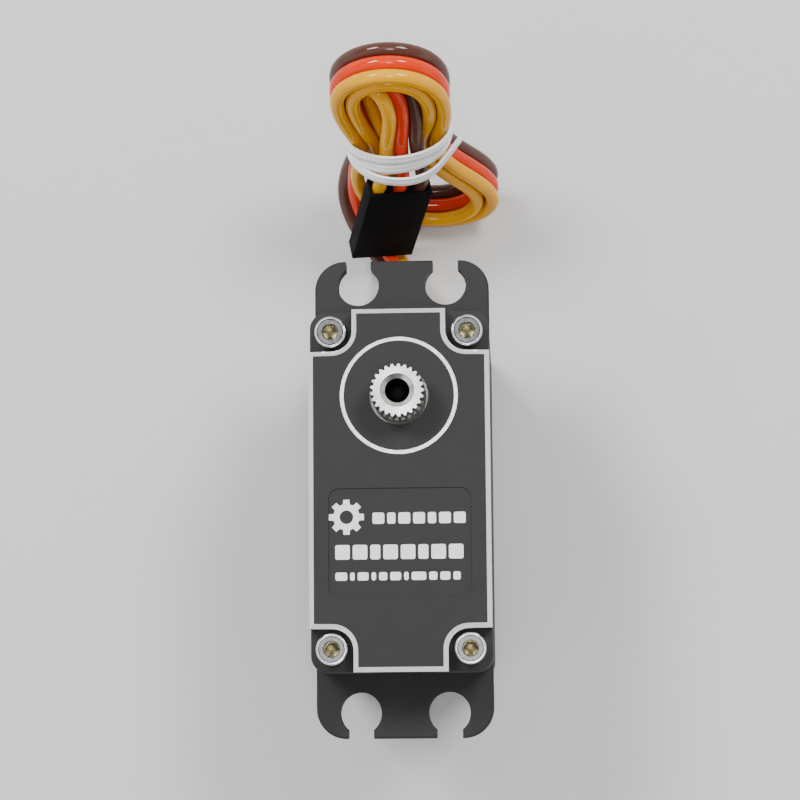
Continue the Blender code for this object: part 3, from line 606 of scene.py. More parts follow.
def plug_frame():
    """Across, thickness and length directions of the plug, with its wire end at the origin."""
    across = Vector((7.52, 0.77, -2.1))
    across = (across - across.dot(PLUG_AXIS) * PLUG_AXIS).normalized()
    front = PLUG_AXIS.cross(across)
    turn = Matrix((across, front, PLUG_AXIS)).transposed().to_4x4()
    return Matrix.Translation(PLUG_ENTRY) @ turn


def ribbon_stations():
    """Each station is the ribbon's middle, the step to the next wire and the middle wire's lift."""
    first_run = [
        (Vector((0, EXIT_Y, EXIT_Z)), (1, 0, 0), 0),
        (Vector((-0.1, 25.5, 6.9)) * MM, (1, 0, 0), 0),
        (Vector((-1.0, 29.0, 4.0)) * MM, (0.85, 0.1, 0.1), 0.5),
        (Vector((-2.6, 32.4, 0.95)) * MM, (0.55, 0.05, 0), 1.45),
        (Vector((-4.4, 35.4, 0.95)) * MM, (0.75, 0.3, 0.1), 0.9),
        (Vector((-6.0, 38.0, 2.4)) * MM, (0.75, 0.25, 0.55), 0),
        (Vector((-6.6, 40.2, 6.4)) * MM, (0.75, -0.6, 0.5), 0),
        (hank_point(-6.0, 11.0), FORWARD, 0),
    ]
    stations = [(spot, Vector(step) * WIRE_PITCH, lift * MM) for spot, step, lift in first_run]
    for k in (0, 1):
        for across, up, forward, tilt in wound_pass(k):
            turn = math.radians(tilt)
            step = Vector((0, -math.cos(turn), math.sin(turn)))
            stations.append((hank_point(across, up, forward), step * WIRE_PITCH, 0))
    last_pass = [
        ((-1.2, 17.6, 0), FORWARD),
        ((-2.8, 21.4, -0.9), FORWARD),
        ((-4.1, 24.8, -1.8), FORWARD),
        ((-4.3, 27.8, -1.8), FORWARD),
        ((-3.4, 30.6, -1.2), FORWARD),
        ((-1.9, 31.6, -0.3), FORWARD - 0.4 * ACROSS),
        ((-0.7, 30.2, 0.9), 0.8 * FORWARD - 0.6 * ACROSS),
        ((0.15, 27.4, 1.7), 0.65 * FORWARD - 0.75 * ACROSS),
        ((0.45, 24.6, 2.6), 0.4 * FORWARD - 0.9 * ACROSS),
        ((-0.1, 21.4, 3.3), 0.15 * FORWARD - ACROSS),
    ]
    for spot, step in last_pass:
        stations.append((hank_point(*spot), step.normalized() * WIRE_PITCH, 0))
    across = plug_frame().col[0].to_3d()
    for depth in (-1.6, 1.0):
        stations.append((PLUG_ENTRY + PLUG_AXIS * depth * MM, -across * PLUG_PITCH, 0))
    return stations


def resampled(points, spacing):
    points = np.array([tuple(p) for p in points])
    along = np.r_[0, np.cumsum(np.linalg.norm(np.diff(points, axis=0), axis=1))]
    even = np.linspace(0, along[-1], round(along[-1] / spacing) + 1)
    return np.stack([np.interp(even, along, points[:, i]) for i in range(3)], 1)


def fair(line, rounds=7, rate=0.22):
    """Evens out the bends of a line without shortening it much."""
    for _ in range(rounds):
        bend = np.zeros_like(line)
        bend[1:-1] = (line[:-2] + line[2:]) / 2 - line[1:-1]
        change = np.zeros_like(line)
        change[2:-2] = (bend[1:-3] + bend[3:-1]) / 2 - bend[2:-2]
        line = line - change * rate
    return line


def settle(lines, radii, held, rounds=60, spacing=0.75 * MM, beside=5 * MM, pull_back=0.008):
    """Pushes lines apart until tubes of the given radii only touch, above the ground.

    held gives how many points stay in place at the start and the end of each line, and beside
    is the stretch of a line that doesn't push on itself.
    """
    lines = [resampled(line, spacing) for line in lines]
    counts = [len(line) for line in lines]
    ends = np.cumsum(counts)[:-1]
    owner = np.repeat(np.arange(len(lines)), counts)
    index = np.concatenate([np.arange(n) for n in counts])
    radius = np.array(radii)[owner]
    reach = radius[:, None] + radius[None] + SLACK
    same_line = owner[:, None] == owner[None]
    near = abs(index[:, None] - index[None]) * spacing < beside
    reach[same_line & near] = 0
    free = np.concatenate(
        [(np.arange(n) >= held[0]) & (np.arange(n) < n - held[1]) for n in counts]
    )
    spots = np.concatenate(lines)
    start = spots.copy()
    for _ in range(rounds):
        apart = spots[:, None] - spots[None]
        distance = np.linalg.norm(apart, axis=2)
        overlap = np.maximum(reach - distance, 0)
        away = apart / np.maximum(distance, MM / 1000)[..., None]
        push = (away * overlap[..., None]).sum(axis=1)
        push /= 2 * np.maximum((overlap > 0).sum(axis=1), 1)[:, None]
        faired = np.concatenate([fair(line) for line in np.split(spots, ends)])
        moved = faired + push + (start - spots) * pull_back
        moved[:, 2] = np.maximum(moved[:, 2], radius + SLACK)
        spots = np.where(free[:, None], moved, spots)
    return [list(map(Vector, line)) for line in np.split(spots, ends)]


def settled_routes():
    """The three wires and the tie, each as a list of points."""
    stations = ribbon_stations()
    lines = []
    for share in (-1, 0, 1):
        spots = [
            middle + share * step + Vector((0, 0, (1 - abs(share)) * lift))
            for middle, step, lift in stations
        ]
        lines.append(smooth_route(spots, ROUTE_SPACING))
    lines.append(smooth_route([hank_point(*spot) for spot in tie_route()], ROUTE_SPACING))
    routes = settle(lines, [WIRE_RADIUS] * 3 + [TIE_CORE + SLACK], held=(2, 5))
    return dict(zip((*WIRES, "tie"), routes))


def wire_curve(name, points):
    """A smooth round wire with closed ends."""
    shape = bpy.data.curves.new(name, "CURVE")
    shape.dimensions = "3D"
    shape.bevel_depth = WIRE_RADIUS
    shape.bevel_resolution = 5
    shape.use_fill_caps = True
    shape.resolution_u = 4
    spline = shape.splines.new("BEZIER")
    spline.bezier_points.add(len(points) - 1)
    for point, spot in zip(spline.bezier_points, points):
        point.co = spot
        point.handle_left_type = point.handle_right_type = "AUTO"
    return place(bpy.data.objects.new(name, shape))


def make_wires(materials, routes, plug, tie):
    """Every second point of a route is enough for its smooth wire."""
    for wire in WIRES:
        points = routes[wire]
        points = points[:-2:2] + [points[-1]]
        item = wire_curve(f"wire_{wire}", points)
        nodes = [f"run_{wire}", f"tail_{wire}"]
        if wire == "orange":
            nodes.append("cable_hank")
        piece(item, f"wire_{wire}", "case", f"wire_{wire}", [materials[wire]], *nodes)
        with_pieces = [f"contact_{wire}"]
        if wire == "red":
            with_pieces += [plug, tie]


def make_plug(materials):
    """A three-way socket housing with latch windows on its back."""
    low = (-PLUG_HALF_WIDTH, -PLUG_HALF_DEPTH, 0)
    high = (PLUG_HALF_WIDTH, PLUG_HALF_DEPTH, PLUG_LENGTH)
    housing = box(low, high, 0.18 * MM, 3)
    back = -PLUG_HALF_DEPTH
    way, mouth, window = 0.7 * MM, 0.95 * MM, 0.6 * MM
    for side in (-1, 0, 1):
        x = side * PLUG_PITCH
        housing = cut(
            housing,
            box((x - way, -way, 6 * MM), (x + way, way, PLUG_LENGTH + MM)),
            box((x - mouth, -mouth, -MM), (x + mouth, mouth, 3.2 * MM)),
            box((x - window, back - MM, 5.2 * MM), (x + window, back + 0.45 * MM, 7.4 * MM)),
        )
    housing.matrix_world = plug_frame()
    finishes = [materials["dark_plastic"]]
    return piece(housing, "plug", "case", "dark_plastic", finishes, "plug_housing")


def tie_route():
    """The tie's stations, as (across, up, forward) in mm.

    It goes round the waist two and a half times, and its end stands off at the right.
    """
    return [
        (-6.7, 19.6, -1.2), (-7.1, 18.9, 0.4), (-6.6, 19.5, 1.6), (-5.6, 19.6, 2.9),
        (-4.4, 20.0, 3.9), (-3.0, 20.3, 4.6), (-1.2, 20.6, 4.9), (0.8, 20.8, 4.8),
        (2.7, 20.9, 4.3), (4.1, 21.2, 3.6), (5.2, 21.8, 2.6), (5.7, 22.2, 1.2),
        (5.5, 21.9, -0.6), (4.6, 21.0, -2.2), (2.8, 20.0, -3.1), (0.0, 19.0, -3.3),
        (-3.4, 18.0, -3.2), (-5.6, 17.2, -2.4), (-6.6, 16.8, -0.6), (-6.5, 16.9, 1.3),
        (-5.5, 17.5, 2.9), (-4.3, 18.0, 4.0), (-2.8, 18.6, 4.7), (-1.3, 19.0, 5.0),
        (0.7, 19.1, 5.0), (2.6, 19.1, 4.5), (4.0, 19.4, 3.8), (5.0, 19.7, 2.8),
        (5.6, 19.7, 1.4), (5.4, 19.3, -0.4), (4.6, 18.6, -2.2), (2.8, 17.8, -3.1),
        (0.0, 16.9, -3.3), (-3.4, 15.9, -3.2), (-5.4, 15.2, -2.4), (-6.4, 14.9, -0.6),
        (-6.3, 15.3, 1.4), (-5.4, 16.3, 3.1), (-4.4, 17.1, 4.5), (-3.3, 17.5, 5.4),
        (-2.1, 17.5, 5.8), (-0.7, 17.3, 6.0), (1.0, 17.1, 5.9), (2.7, 17.2, 5.5),
        (3.8, 17.7, 5.0), (4.8, 19.0, 4.3), (5.9, 20.5, 3.5), (6.9, 21.5, 2.6),
    ]


def strip_profile():
    """The outline across a twist tie: a wire core between two flat wings."""
    half = TIE_WIDTH / 2
    upper = [
        (half, 0.0),
        (half * 0.93, TIE_WING),
        (half * 0.5, TIE_WING * 1.05),
        (half * 0.33, TIE_CORE * 0.8),
        (0.0, TIE_CORE),
    ]
    upper += [(-x, z) for x, z in reversed(upper[:-1])]
    return upper + [(x, -z) for x, z in reversed(upper[1:-1])]


def make_tie(materials, route):
    """The tie's flat side faces away from the waist's middle, and its ends narrow."""
    axis_foot = hank_point(-0.3, 0, 0.6)
    profile = strip_profile()
    points = []
    for k, spot in enumerate(route):
        ahead = (route[min(k + 1, len(route) - 1)] - route[max(k - 1, 0)]).normalized()
        rise = (spot - axis_foot).dot(UP)
        outward = spot - (axis_foot + UP * rise)
        outward = (outward - outward.dot(ahead) * ahead).normalized()
        wide = ahead.cross(outward)
        share = min(1.0, 0.5 + 0.25 * min(k, len(route) - 1 - k))
        points += [spot + wide * x * share + outward * z for x, z in profile]
    count = len(profile)
    faces = []
    for row in range(len(route) - 1):
        for k in range(count):
            n = (k + 1) % count
            start = row * count
            faces.append((start + k, start + n, start + count + n, start + count + k))
    faces.append(tuple(range(count)))
    faces.append(tuple(range(len(points) - count, len(points))))
    item = as_mesh(mesh_object("tie", points, faces))
    return piece(item, "tie", "case", "tie_white", [materials["tie_white"]], "twist_tie", sharp=50)


def facing_forward(item, x, z):
    """Turns a shape that stands on the ground to lie along +Y, at the given place."""
    turn = Matrix.Rotation(math.radians(-90), 4, "X")
    item.matrix_world = Matrix.Translation((x, 0, z)) @ turn @ item.matrix_world
    bpy.context.view_layer.update()
    return item


def make_grommet(materials):
    """A rubber strain relief: a flange inside, a neck through the wall and a ribbed nose."""
    low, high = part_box("cable_grommet")
    middle = (low[2] + high[2]) / 2

    def slab(half_x, half_z, near, far, bevel):
        outline = rounded_rectangle(half_x, half_z, 0.5 * MM, 4)
        return facing_forward(plate([outline], near, far, bevel, 2), 0, middle)

    half_z = (high[2] - low[2]) / 2
    item = join(
        slab(2.9 * MM, 1.4 * MM, 17.3 * MM, 21.5 * MM, 0.1 * MM),
        slab(4.0 * MM, half_z, low[1], 18.1 * MM, 0.2 * MM),
        slab(3.7 * MM, half_z - 0.1 * MM, 20.3 * MM, 21.4 * MM, 0.3 * MM),
        slab(3.3 * MM, half_z - 0.4 * MM, 21.0 * MM, high[1], 0.3 * MM),
    )
    for side in (-1, 0, 1):
        tool = cylinder(WIRE_RADIUS + SLACK, 15 * MM, 24 * MM, sides=24)
        item = cut(item, facing_forward(tool, side * WIRE_PITCH, EXIT_Z))
    piece(item, "grommet", "case", "rubber", [materials["rubber"]], "cable_grommet")


# ---- case


def case_block(bottom, top, bevel=EDGE):
    outline = rounded_rectangle(CASE_HALF_WIDTH, CASE_HALF_LENGTH, CASE_CORNER)
    return plate([outline], bottom, top, bevel, 1)


def screw_spot(node):
    low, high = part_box(f"case_screw_{node}")
    return (low[0] + high[0]) / 2, (low[1] + high[1]) / 2


def screw_holes(bottom, top):
    holes = []
    for node in SCREW_NODES:
        x, y = screw_spot(node)
        holes.append(cylinder(SCREW_RADIUS + GAP, bottom, top, x, y, 24))
    return holes


def plate_outline():
    """The raised plate: a rectangle whose corners are notched around the screws."""
    centre_x = PLATE_END_HALF + NOTCH_FILLET
    centre_y = NOTCH_LINE + NOTCH_FILLET
    quarter = [(CASE_HALF_WIDTH, NOTCH_LINE - 0.03 * MM)]
    quarter += arc(centre_x, centre_y, NOTCH_FILLET, 270, 180, 12)
    quarter += [(PLATE_END_HALF, CASE_HALF_LENGTH)]
    half = quarter + [(-x, y) for x, y in reversed(quarter)]
    return half + [(-x, -y) for x, y in half]


def gear_bay(bottom, top):
    """Three overlapping round hollows. The one over the motor is lower."""
    tops = ((OUTPUT_Y, top), (IDLER_Y, top), (MOTOR_Y, min(top, MOTOR_GEAR_CEILING)))
    return [cylinder(GEAR_BAY_RADIUS, bottom, height, y=y) for y, height in tops]


def paint_cuts(item, top):
    """Gives the plate's chamfer and the ring the bare-metal finish, which is the second one."""
    for face in item.data.polygons:
        middle = face.center
        slanted = 0.2 < face.normal.z < 0.96
        reach = math.hypot(middle.x, middle.y - OUTPUT_Y)
        on_ring = abs(reach - RING_RADIUS) < RING_HALF_WIDTH and middle.z < top - MERGE
        on_chamfer = slanted and reach > RING_RADIUS
        near_top = middle.z > top - PLATE_CHAMFER - 0.05 * MM
        face.material_index = int(near_top and (on_ring or on_chamfer))


def ring_groove(top):
    """The tool for the flat-bottomed groove round the shaft."""
    shoulder = RING_DEPTH / 2
    half = [
        (RING_HALF_WIDTH, top + 0.1 * MM),
        (RING_HALF_WIDTH, top - shoulder),
        (RING_HALF_WIDTH - shoulder, top - RING_DEPTH),
    ]
    inner = [(RING_RADIUS - x, z) for x, z in half]
    outer = [(RING_RADIUS + x, z) for x, z in half]
    return turned(inner[:1] + outer + inner[:0:-1], y=OUTPUT_Y, sides=96, closed=True)


def make_top_cover(materials):
    """The raised plate is built too tall and squashed, which makes its chamfer less steep."""
    low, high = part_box("top_cover")
    bottom, top = low[2], high[2]
    item = case_block(bottom, SHELF)
    raised = plate([plate_outline()], 0, (top - SHELF + MM) / CHAMFER_RISE, PLATE_CHAMFER)
    squash = Matrix.Diagonal((1, 1, CHAMFER_RISE, 1))
    raised.matrix_world = Matrix.Translation((0, 0, SHELF - MM)) @ squash
    item = join(item, raised)
    item = cut(item, *gear_bay(bottom - MM, GEAR_CEILING))
    bearing_low, bearing_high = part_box("upper_bearing_outer_race")
    seat = (bearing_high[0] - bearing_low[0]) / 2 + GAP
    item = cut(
        item,
        cylinder(seat, GEAR_CEILING - MM, bearing_high[2] + GAP, y=OUTPUT_Y),
        cylinder(SHAFT_RADIUS + GAP, SHELF, top + MM, y=OUTPUT_Y),
        cylinder(PIN_HOLE, GEAR_CEILING - MM, PIN_TOP, y=IDLER_Y, sides=24),
        *screw_holes(bottom - MM, SHELF + MM),
    )
    half_x, half_y = LABEL_SIZE[0] / 2, LABEL_SIZE[1] / 2
    label = rounded_rectangle(half_x, half_y, LABEL_CORNER, centre=(0, LABEL_CENTRE_Y))
    recess = plate([label], top - ENGRAVING_DEPTH, top + MM)
    item = cut(item, ring_groove(top), recess)
    finishes = [materials["case"], materials["cut"]]
    piece(item, "top_cover_shell", "case", "case_metal", finishes, "top_cover")
    paint_cuts(item, top)


def keyhole_outline(side_x, side_y):
    """A round hole whose slot runs out through the end of the ear."""
    x, y = side_x * EAR_HOLE_X, side_y * EAR_HOLE_Y
    opening = math.degrees(math.asin(EAR_SLOT_HALF / EAR_HOLE_RADIUS))
    outline = arc(x, y, EAR_HOLE_RADIUS, 90 + opening, 450 - opening, 44)
    end = EARS_HIGH[1] + MM
    outline = [(px, side_y * (py - y) + y) for px, py in outline]
    outline += [(x + EAR_SLOT_HALF, side_y * end), (x - EAR_SLOT_HALF, side_y * end)]
    return outline


def deck_holes():
    """The lower bearing's seat, the feedback shaft, the motor's boss, the pin and two screws."""
    below, above = DECK_BOTTOM - MM, DECK_TOP + MM
    holes = [
        cylinder(LOWER_SEAT_RADIUS, LOWER_SEAT_BOTTOM, above, y=OUTPUT_Y),
        cylinder(FEEDBACK_HOLE, below, DECK_TOP, y=OUTPUT_Y, sides=24),
        cylinder(MOTOR_BOSS_HOLE, below, above, y=MOTOR_Y, sides=32),
        cylinder(PIN_HOLE, PIN_BOTTOM, above, y=IDLER_Y, sides=24),
    ]
    for x in (-MOTOR_SCREW_X, MOTOR_SCREW_X):
        holes.append(cylinder(MOTOR_SCREW_HOLE, below, above, x, MOTOR_Y, 24))
    return holes


def make_middle_case(materials):
    bottom, top = EARS_LOW[2], EARS_HIGH[2]
    item = case_block(bottom, top)
    ears = rounded_rectangle(CASE_HALF_WIDTH - 0.01 * MM, EARS_HIGH[1], EAR_CORNER, 12)
    item = join(item, plate([ears], EAR_BOTTOM, EAR_TOP, 0.3 * MM, 2))
    for side_x in (-1, 1):
        for side_y in (-1, 1):
            hole = plate([keyhole_outline(side_x, side_y)], EAR_BOTTOM - MM, EAR_TOP + MM)
            item = cut(item, hole)
    item = cut(item, *gear_bay(DECK_TOP, top + MM))
    for y in (MOTOR_Y, MOTOR_BAY_END):
        item = cut(item, cylinder(MOTOR_BAY_RADIUS, bottom - MM, DECK_BOTTOM, y=y))
    half_bay = 6 * MM
    bay_middle = box((-half_bay, MOTOR_Y, bottom - MM), (half_bay, MOTOR_BAY_END, DECK_BOTTOM))
    item = cut(item, bay_middle, *deck_holes(), *screw_holes(bottom - MM, top + MM))
    piece(item, "middle_shell", "case", "case_metal", [materials["case"]], "middle_case")


def plus_outline(half_x, half_y, side_half_y, end_half_x):
    """A rectangle with its corners cut away, to leave room for the screws."""
    lead_in = 0.3 * MM
    quarter = [(half_x, side_half_y - lead_in), (end_half_x, side_half_y), (end_half_x, half_y)]
    half = quarter + [(-x, y) for x, y in reversed(quarter)]
    return half + [(-x, -y) for x, y in half]


def make_bottom_cover(materials):
    """The notch in its front wall lets the grommet through."""
    top = CASE_HIGH[2]
    item = case_block(0, top, bevel=0.4 * MM)
    inside = plus_outline(
        half_x=8.4 * MM, half_y=18.4 * MM, side_half_y=15.0 * MM, end_half_x=5.2 * MM
    )
    item = cut(item, plate([inside], CASE_FLOOR, top + MM))
    notch_half, notch_bottom, screw_bottom = 3.2 * MM, 5.4 * MM, 1.2 * MM
    notch = box((-notch_half, 17 * MM, notch_bottom), (notch_half, 21 * MM, top + MM))
    item = cut(item, notch, *screw_holes(screw_bottom, top + MM))
    piece(item, "bottom_shell", "case", "case_metal", [materials["case"]], "bottom_cover")


def cogwheel_outline(centre_x, centre_y):
    """Eight teeth, each from its root on one side to its root on the other."""
    root, tip = 1.45, 1.95
    wheel = []
    for k in range(8):
        for share, reach in ((-0.34, root), (-0.22, tip), (0.22, tip), (0.34, root)):
            angle = math.radians(45 * (k + share))
            wheel.append((reach * math.cos(angle), reach * math.sin(angle)))
    return [(centre_x + x * MM, centre_y + y * MM) for x, y in wheel]


def make_label(materials):
    """A generic print: a cogwheel and three rows of plain bars.

    Each row is its left end, its place up the plate, half the bars' height and their widths.
    """
    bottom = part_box("top_cover")[1][2] - ENGRAVING_DEPTH
    top = bottom + PRINT_THICKNESS
    centre = (-5.85 * MM, -3.1 * MM)
    hub = arc(*centre, 0.75 * MM, 0, 345, 23)[::-1]
    item = plate([cogwheel_outline(*centre), hub], bottom, top)
    rows = (
        (-3.0, -3.25, 0.62, (1.3, 0.9, 1.3, 1.3, 0.9, 1.3, 1.3)),
        (-7.1, -6.95, 0.8, (1.6, 1.6, 1.1, 1.6, 1.6, 1.1, 1.6, 1.6)),
        (-7.1, -9.6, 0.45, (1.3, 0.5, 1.2, 0.5, 0.9, 1.2, 0.5, 1.6, 0.9, 1.1, 0.8)),
    )
    corner, gap = 0.22 * MM, 0.32
    for x, y, half_height, widths in rows:
        for width in widths:
            middle = ((x + width / 2) * MM, y * MM)
            bar = rounded_rectangle(width / 2 * MM, half_height * MM, corner, 4, middle)
            item = merged(item, plate([bar], bottom, top))
            x += width + gap
    piece(item, "label_print", "case", "case_metal", [materials["print"]])


# ---- metal parts


def screw_shape(bottom, top, neck):
    """A long socket-head screw with a knurled head, a ringed face and a drilled hexagon."""
    radius = SCREW_HEAD_RADIUS
    profile = [
        (0, top - 0.03 * MM),
        (radius - 0.34 * MM, top - 0.03 * MM),
        (radius - SCREW_RING_INSET - 0.02 * MM, top - SCREW_RING_DEPTH),
        (radius - SCREW_RING_INSET + 0.02 * MM, top - SCREW_RING_DEPTH),
        (radius - 0.24 * MM, top),
        (radius - 0.16 * MM, top),
        (radius, top - 0.16 * MM),
        (radius, top - 0.45 * MM),
        (radius, neck + 0.35 * MM),
        (radius, neck + 0.15 * MM),
        (radius - 0.15 * MM, neck),
        (SCREW_RADIUS + 0.15 * MM, neck),
        (SCREW_RADIUS, neck - 0.15 * MM),
        (SCREW_RADIUS, bottom + 0.3 * MM),
        (SCREW_RADIUS - 0.3 * MM, bottom),
        (0, bottom),
    ]
    knurled = (7, 8)
    ripple = [0.05 * MM if k in knurled else 0.0 for k in range(len(profile))]
    head = turned(profile, sides=96, ripple=ripple)
    above, below = top + 0.1 * MM, top - 0.12 * MM
    wide, narrow = SCREW_SOCKET + 0.12 * MM, SCREW_SOCKET - 0.1 * MM
    cone = turned([(0, above), (wide, above), (narrow, below), (0, below)], sides=48)
    floor = top - SCREW_SOCKET_DEPTH
    drill, start = SCREW_DRILL_RADIUS, floor + MM
    drilled = turned([(0, start), (drill, start), (drill, floor), (0, floor - 0.4 * MM)])
    hexagon = cylinder(SCREW_SOCKET, floor, top + MM, sides=6)
    return cut(head, cone, hexagon, drilled)


def paint_screw(item, top, neck):
    """Finish 3 on the face, 1 in the socket and 2 in the fine ring round it are painted shade."""
    shallow = 0.15 * MM
    for face in item.data.polygons:
        reach = math.hypot(face.center.x, face.center.y)
        depth = top - face.center.z
        on_shaded_face = reach < SCREW_HEAD_RADIUS - 0.33 * MM and depth < shallow
        in_head = depth > shallow and face.center.z > neck
        in_shaded_socket = in_head and reach < SCREW_SOCKET * 0.99
        in_shaded_ring = abs(reach - SCREW_HEAD_RADIUS + SCREW_RING_INSET) < 0.04 * MM
        face.material_index = 3 if on_shaded_face else int(in_shaded_socket)
        if in_shaded_ring and 0.04 * MM < depth < 0.2 * MM:
            face.material_index = 2


def make_screws(materials):
    """Four copies of one screw, each turned its own way."""
    low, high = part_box("case_screw_front_left")
    top, neck = high[2], high[2] - SCREW_HEAD_HEIGHT
    screw = screw_shape(low[2], top, neck)
    finishes = [materials[name] for name in ("screw", "socket", "thread", "screw_face")]
    for node in SCREW_NODES:
        x, y = screw_spot(node)
        item = place(bpy.data.objects.new("screw", screw.data.copy()))
        item.matrix_world = Matrix.Translation((x, y, 0)) @ Matrix.Rotation(7 * x + 3 * y, 4, "Z")
        cad_node = f"case_screw_{node}"
        piece(item, f"screw_{node}", "case", "bright_steel", finishes, cad_node)
        paint_screw(item, top, neck)
    bpy.data.objects.remove(screw)


def involute(angle):
    return math.tan(angle) - angle


def gear_outline(module, teeth, centre_y, phase):
    """An involute gear's outline, with a tooth centred on the phase angle."""
    pitch = module * teeth / 2
    base = pitch * math.cos(PRESSURE_ANGLE)
    at_pitch = TOOTH_SHARE * math.pi / teeth + involute(PRESSURE_ANGLE)
    outline = []
    radii = (pitch - DEDENDUM * module, pitch - 0.4 * module, pitch, pitch + ADDENDUM * module)
    for k in range(teeth):
        middle = phase + k * 2 * math.pi / teeth
        sides = []
        for radius in radii:
            flank = involute(math.acos(base / radius)) if radius > base else 0.0
            sides.append((radius, at_pitch - flank))
        spots = [(r, middle - half) for r, half in sides]
        spots += [(r, middle + half) for r, half in reversed(sides)]
        outline += [(r * math.cos(a), centre_y + r * math.sin(a)) for r, a in spots]
    return outline


def spline_outline():
    """Each tooth is a root, two flanks and a tip, at shares of the step between teeth."""
    step = 2 * math.pi / SPLINE_TEETH
    root, tip = SPLINE_ROOT, SHAFT_RADIUS
    tooth = ((-0.5, root), (-0.36, root), (-0.13, tip), (0.13, tip), (0.36, root))
    outline = []
    for k in range(SPLINE_TEETH):
        for share, radius in tooth:
            angle = (k + share) * step
            outline.append((radius * math.cos(angle), OUTPUT_Y + radius * math.sin(angle)))
    return outline


def thread_profile(top, turns):
    """The threaded hole's outline, from its mouth down to its drilled end."""
    profile = [
        (0, top + MM),
        (HORN_COUNTERSINK + MM, top + MM),
        (HORN_COUNTERSINK, top),
        (HORN_COUNTERSINK - 0.06 * MM, top - 0.12 * MM),
        (HORN_HOLE + 0.05 * MM, top - 0.38 * MM),
        (HORN_HOLE, top - 0.5 * MM),
    ]
    height = top - 0.7 * MM
    for _ in range(turns):
        profile.append((HORN_HOLE, height))
        profile.append((HORN_HOLE + THREAD_DEPTH, height - THREAD_PITCH / 2))
        height -= THREAD_PITCH
    return profile + [(HORN_HOLE, height), (HORN_HOLE, height - MM), (0, height - 1.6 * MM)]


def spline_end():
    """The toothed end, with the teeth's tips cut back to a slope."""
    teeth = plate([spline_outline()], SPLINE_BOTTOM + 0.05 * MM, SPLINE_TOP)
    near, far, above = SHAFT_RADIUS - 0.1 * MM, 4 * MM, SPLINE_TOP + 0.3 * MM
    slope = [(far, SPLINE_TOP - 0.85 * MM), (near, SPLINE_TOP - 0.01 * MM)]
    tool = turned([(near, above), (far, above), *slope], y=OUTPUT_Y, sides=96, closed=True)
    return cut(teeth, tool)


def make_output(materials):
    """The last gear, its shaft and the 25-tooth spline are one piece."""
    outline = gear_outline(LAST_GEAR_MODULE, LAST_GEAR_TEETH, OUTPUT_Y, math.radians(-90))
    item = plate([outline], LAST_GEAR_BOTTOM, LAST_GEAR_TOP)
    shaft = [
        (0, SPLINE_BOTTOM + 0.35 * MM),
        (SPLINE_ROOT - 0.1 * MM, SPLINE_BOTTOM + 0.35 * MM),
        (SPLINE_ROOT + 0.05 * MM, SPLINE_BOTTOM + 0.12 * MM),
        (SHAFT_RADIUS - 0.12 * MM, SPLINE_BOTTOM + 0.12 * MM),
        (SHAFT_RADIUS, SPLINE_BOTTOM),
        (SHAFT_RADIUS, LAST_GEAR_BOTTOM + 0.5 * MM),
        (STUB_RADIUS, LAST_GEAR_BOTTOM + 0.5 * MM),
        (STUB_RADIUS, SHAFT_BOTTOM),
        (0, SHAFT_BOTTOM),
    ]
    item = join(item, turned(shaft, y=OUTPUT_Y), spline_end())
    item = cut(item, turned(thread_profile(SPLINE_TOP, THREAD_TURNS), y=OUTPUT_Y))
    finishes = [materials["shaft"], materials["spline"], materials["thread"]]
    piece(item, "output_shaft", "output", "gear_steel", finishes, "output_gear")
    paint_shaft(item)


def paint_shaft(item):
    """Finish 1 on the spline's sides and low shoulder and 2 in the threaded hole are painted shade.
    """
    for face in item.data.polygons:
        reach = math.hypot(face.center.x, face.center.y - OUTPUT_Y)
        in_shaded_hole = face.center.z < SPLINE_TOP - 0.45 * MM and reach < HORN_HOLE + THREAD_DEPTH
        low = face.center.z < SPLINE_BOTTOM + 0.4 * MM
        shaded_side = (abs(face.normal.z) < 0.3 or low) and reach > SPLINE_ROOT - 0.1 * MM
        finish = 2 if in_shaded_hole else int(shaded_side)
        face.material_index = finish if face.center.z > SHELF else 0


def finish_inner_nodes(materials):
    """The CAD nodes that stay get the scene's material for their slot in the record."""
    for part in frame["record"]["subparts"]:
        node = frame["nodes"][part["node"]]
        name = part["material_slot"].replace("wire_", "")
        chosen = materials.get(name, materials["case"])
        node.data.materials.clear()
        node.data.materials.append(chosen)


# ---- setting


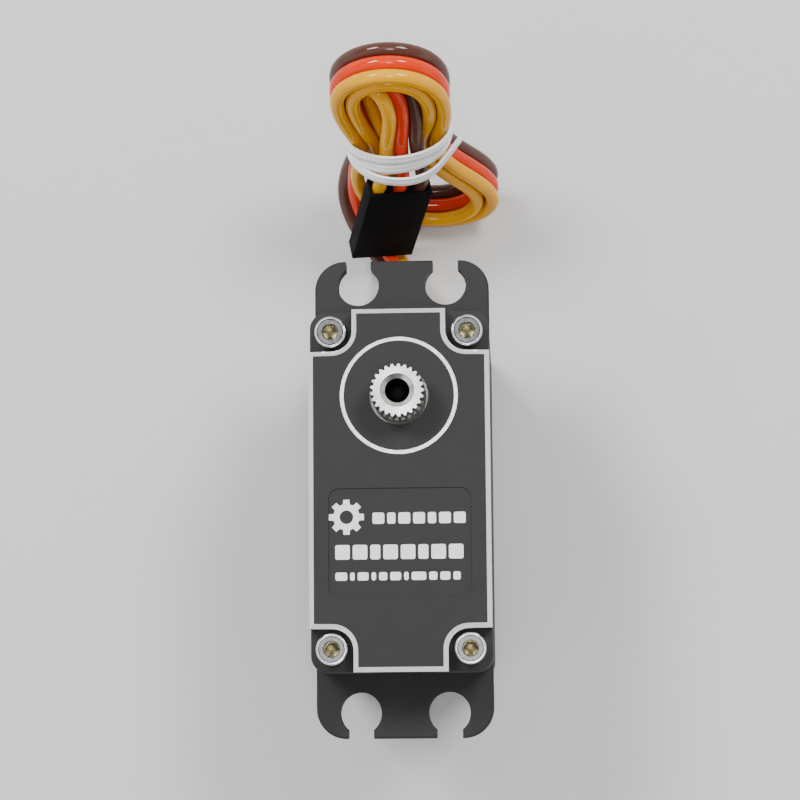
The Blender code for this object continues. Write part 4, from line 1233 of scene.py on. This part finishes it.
def make_floor():
    far = FLOOR_REACH
    corners = [(-far, -far, 0), (far, -far, 0), (far, far, 0), (-far, far, 0)]
    item = mesh_object("floor", corners, [(0, 1, 2, 3)])
    pale = surface("pale_floor", (0.66, 0.66, 0.655), 0.7, 0.0, 0.02, 20, 0.6, 0.004)
    item.data.materials.append(pale)


def softbox(name, spot, size, power):
    light = bpy.data.lights.new(name, "AREA")
    light.shape = "RECTANGLE"
    light.size, light.size_y = size
    light.energy = power
    item = place(bpy.data.objects.new(name, light))
    item.location = spot
    aim = LIGHTS_AIM - Vector(spot)
    item.rotation_euler = aim.to_track_quat("-Z", "Y").to_euler()


def make_lights():
    """Softboxes, in a sky that is bright at the horizon and dark overhead."""
    for row in SOFTBOXES:
        softbox(*row)
    world = bpy.data.worlds.new("studio")
    world.use_nodes = True
    tree = world.node_tree
    direction = tree.nodes.new("ShaderNodeTexCoord").outputs["Generated"]
    split = tree.nodes.new("ShaderNodeSeparateXYZ")
    tree.links.new(direction, split.inputs["Vector"])
    fade = mapped(tree, split.outputs["Z"], SKY_HEIGHTS, SKY_STRENGTHS, "SMOOTHSTEP")
    sky = tree.nodes["Background"]
    sky.inputs["Color"].default_value = (1, 1, 1, 1)
    tree.links.new(fade, sky.inputs["Strength"])
    bpy.context.scene.world = world


def make_camera():
    """The camera solved from the photo, almost straight above the shaft's face."""
    camera = bpy.data.cameras.new("camera")
    camera.lens = CAMERA_LENS
    camera.sensor_width = 36.0
    camera.clip_start = 0.01
    item = place(bpy.data.objects.new("camera", camera))
    stand = Matrix.Translation(CAMERA_SPOT)
    for degrees, axis in CAMERA_TURNS:
        stand = stand @ Matrix.Rotation(math.radians(degrees), 4, axis)
    item.matrix_world = stand
    bpy.context.scene.camera = item


def main():
    materials = make_materials()
    make_camera()
    make_lights()
    make_floor()
    finish_inner_nodes(materials)
    routes = settled_routes()
    plug = make_plug(materials)
    tie = make_tie(materials, routes["tie"])
    make_wires(materials, routes, plug, tie)
    make_grommet(materials)
    make_bottom_cover(materials)
    make_middle_case(materials)
    make_top_cover(materials)
    make_label(materials)
    make_screws(materials)
    make_output(materials)


main()
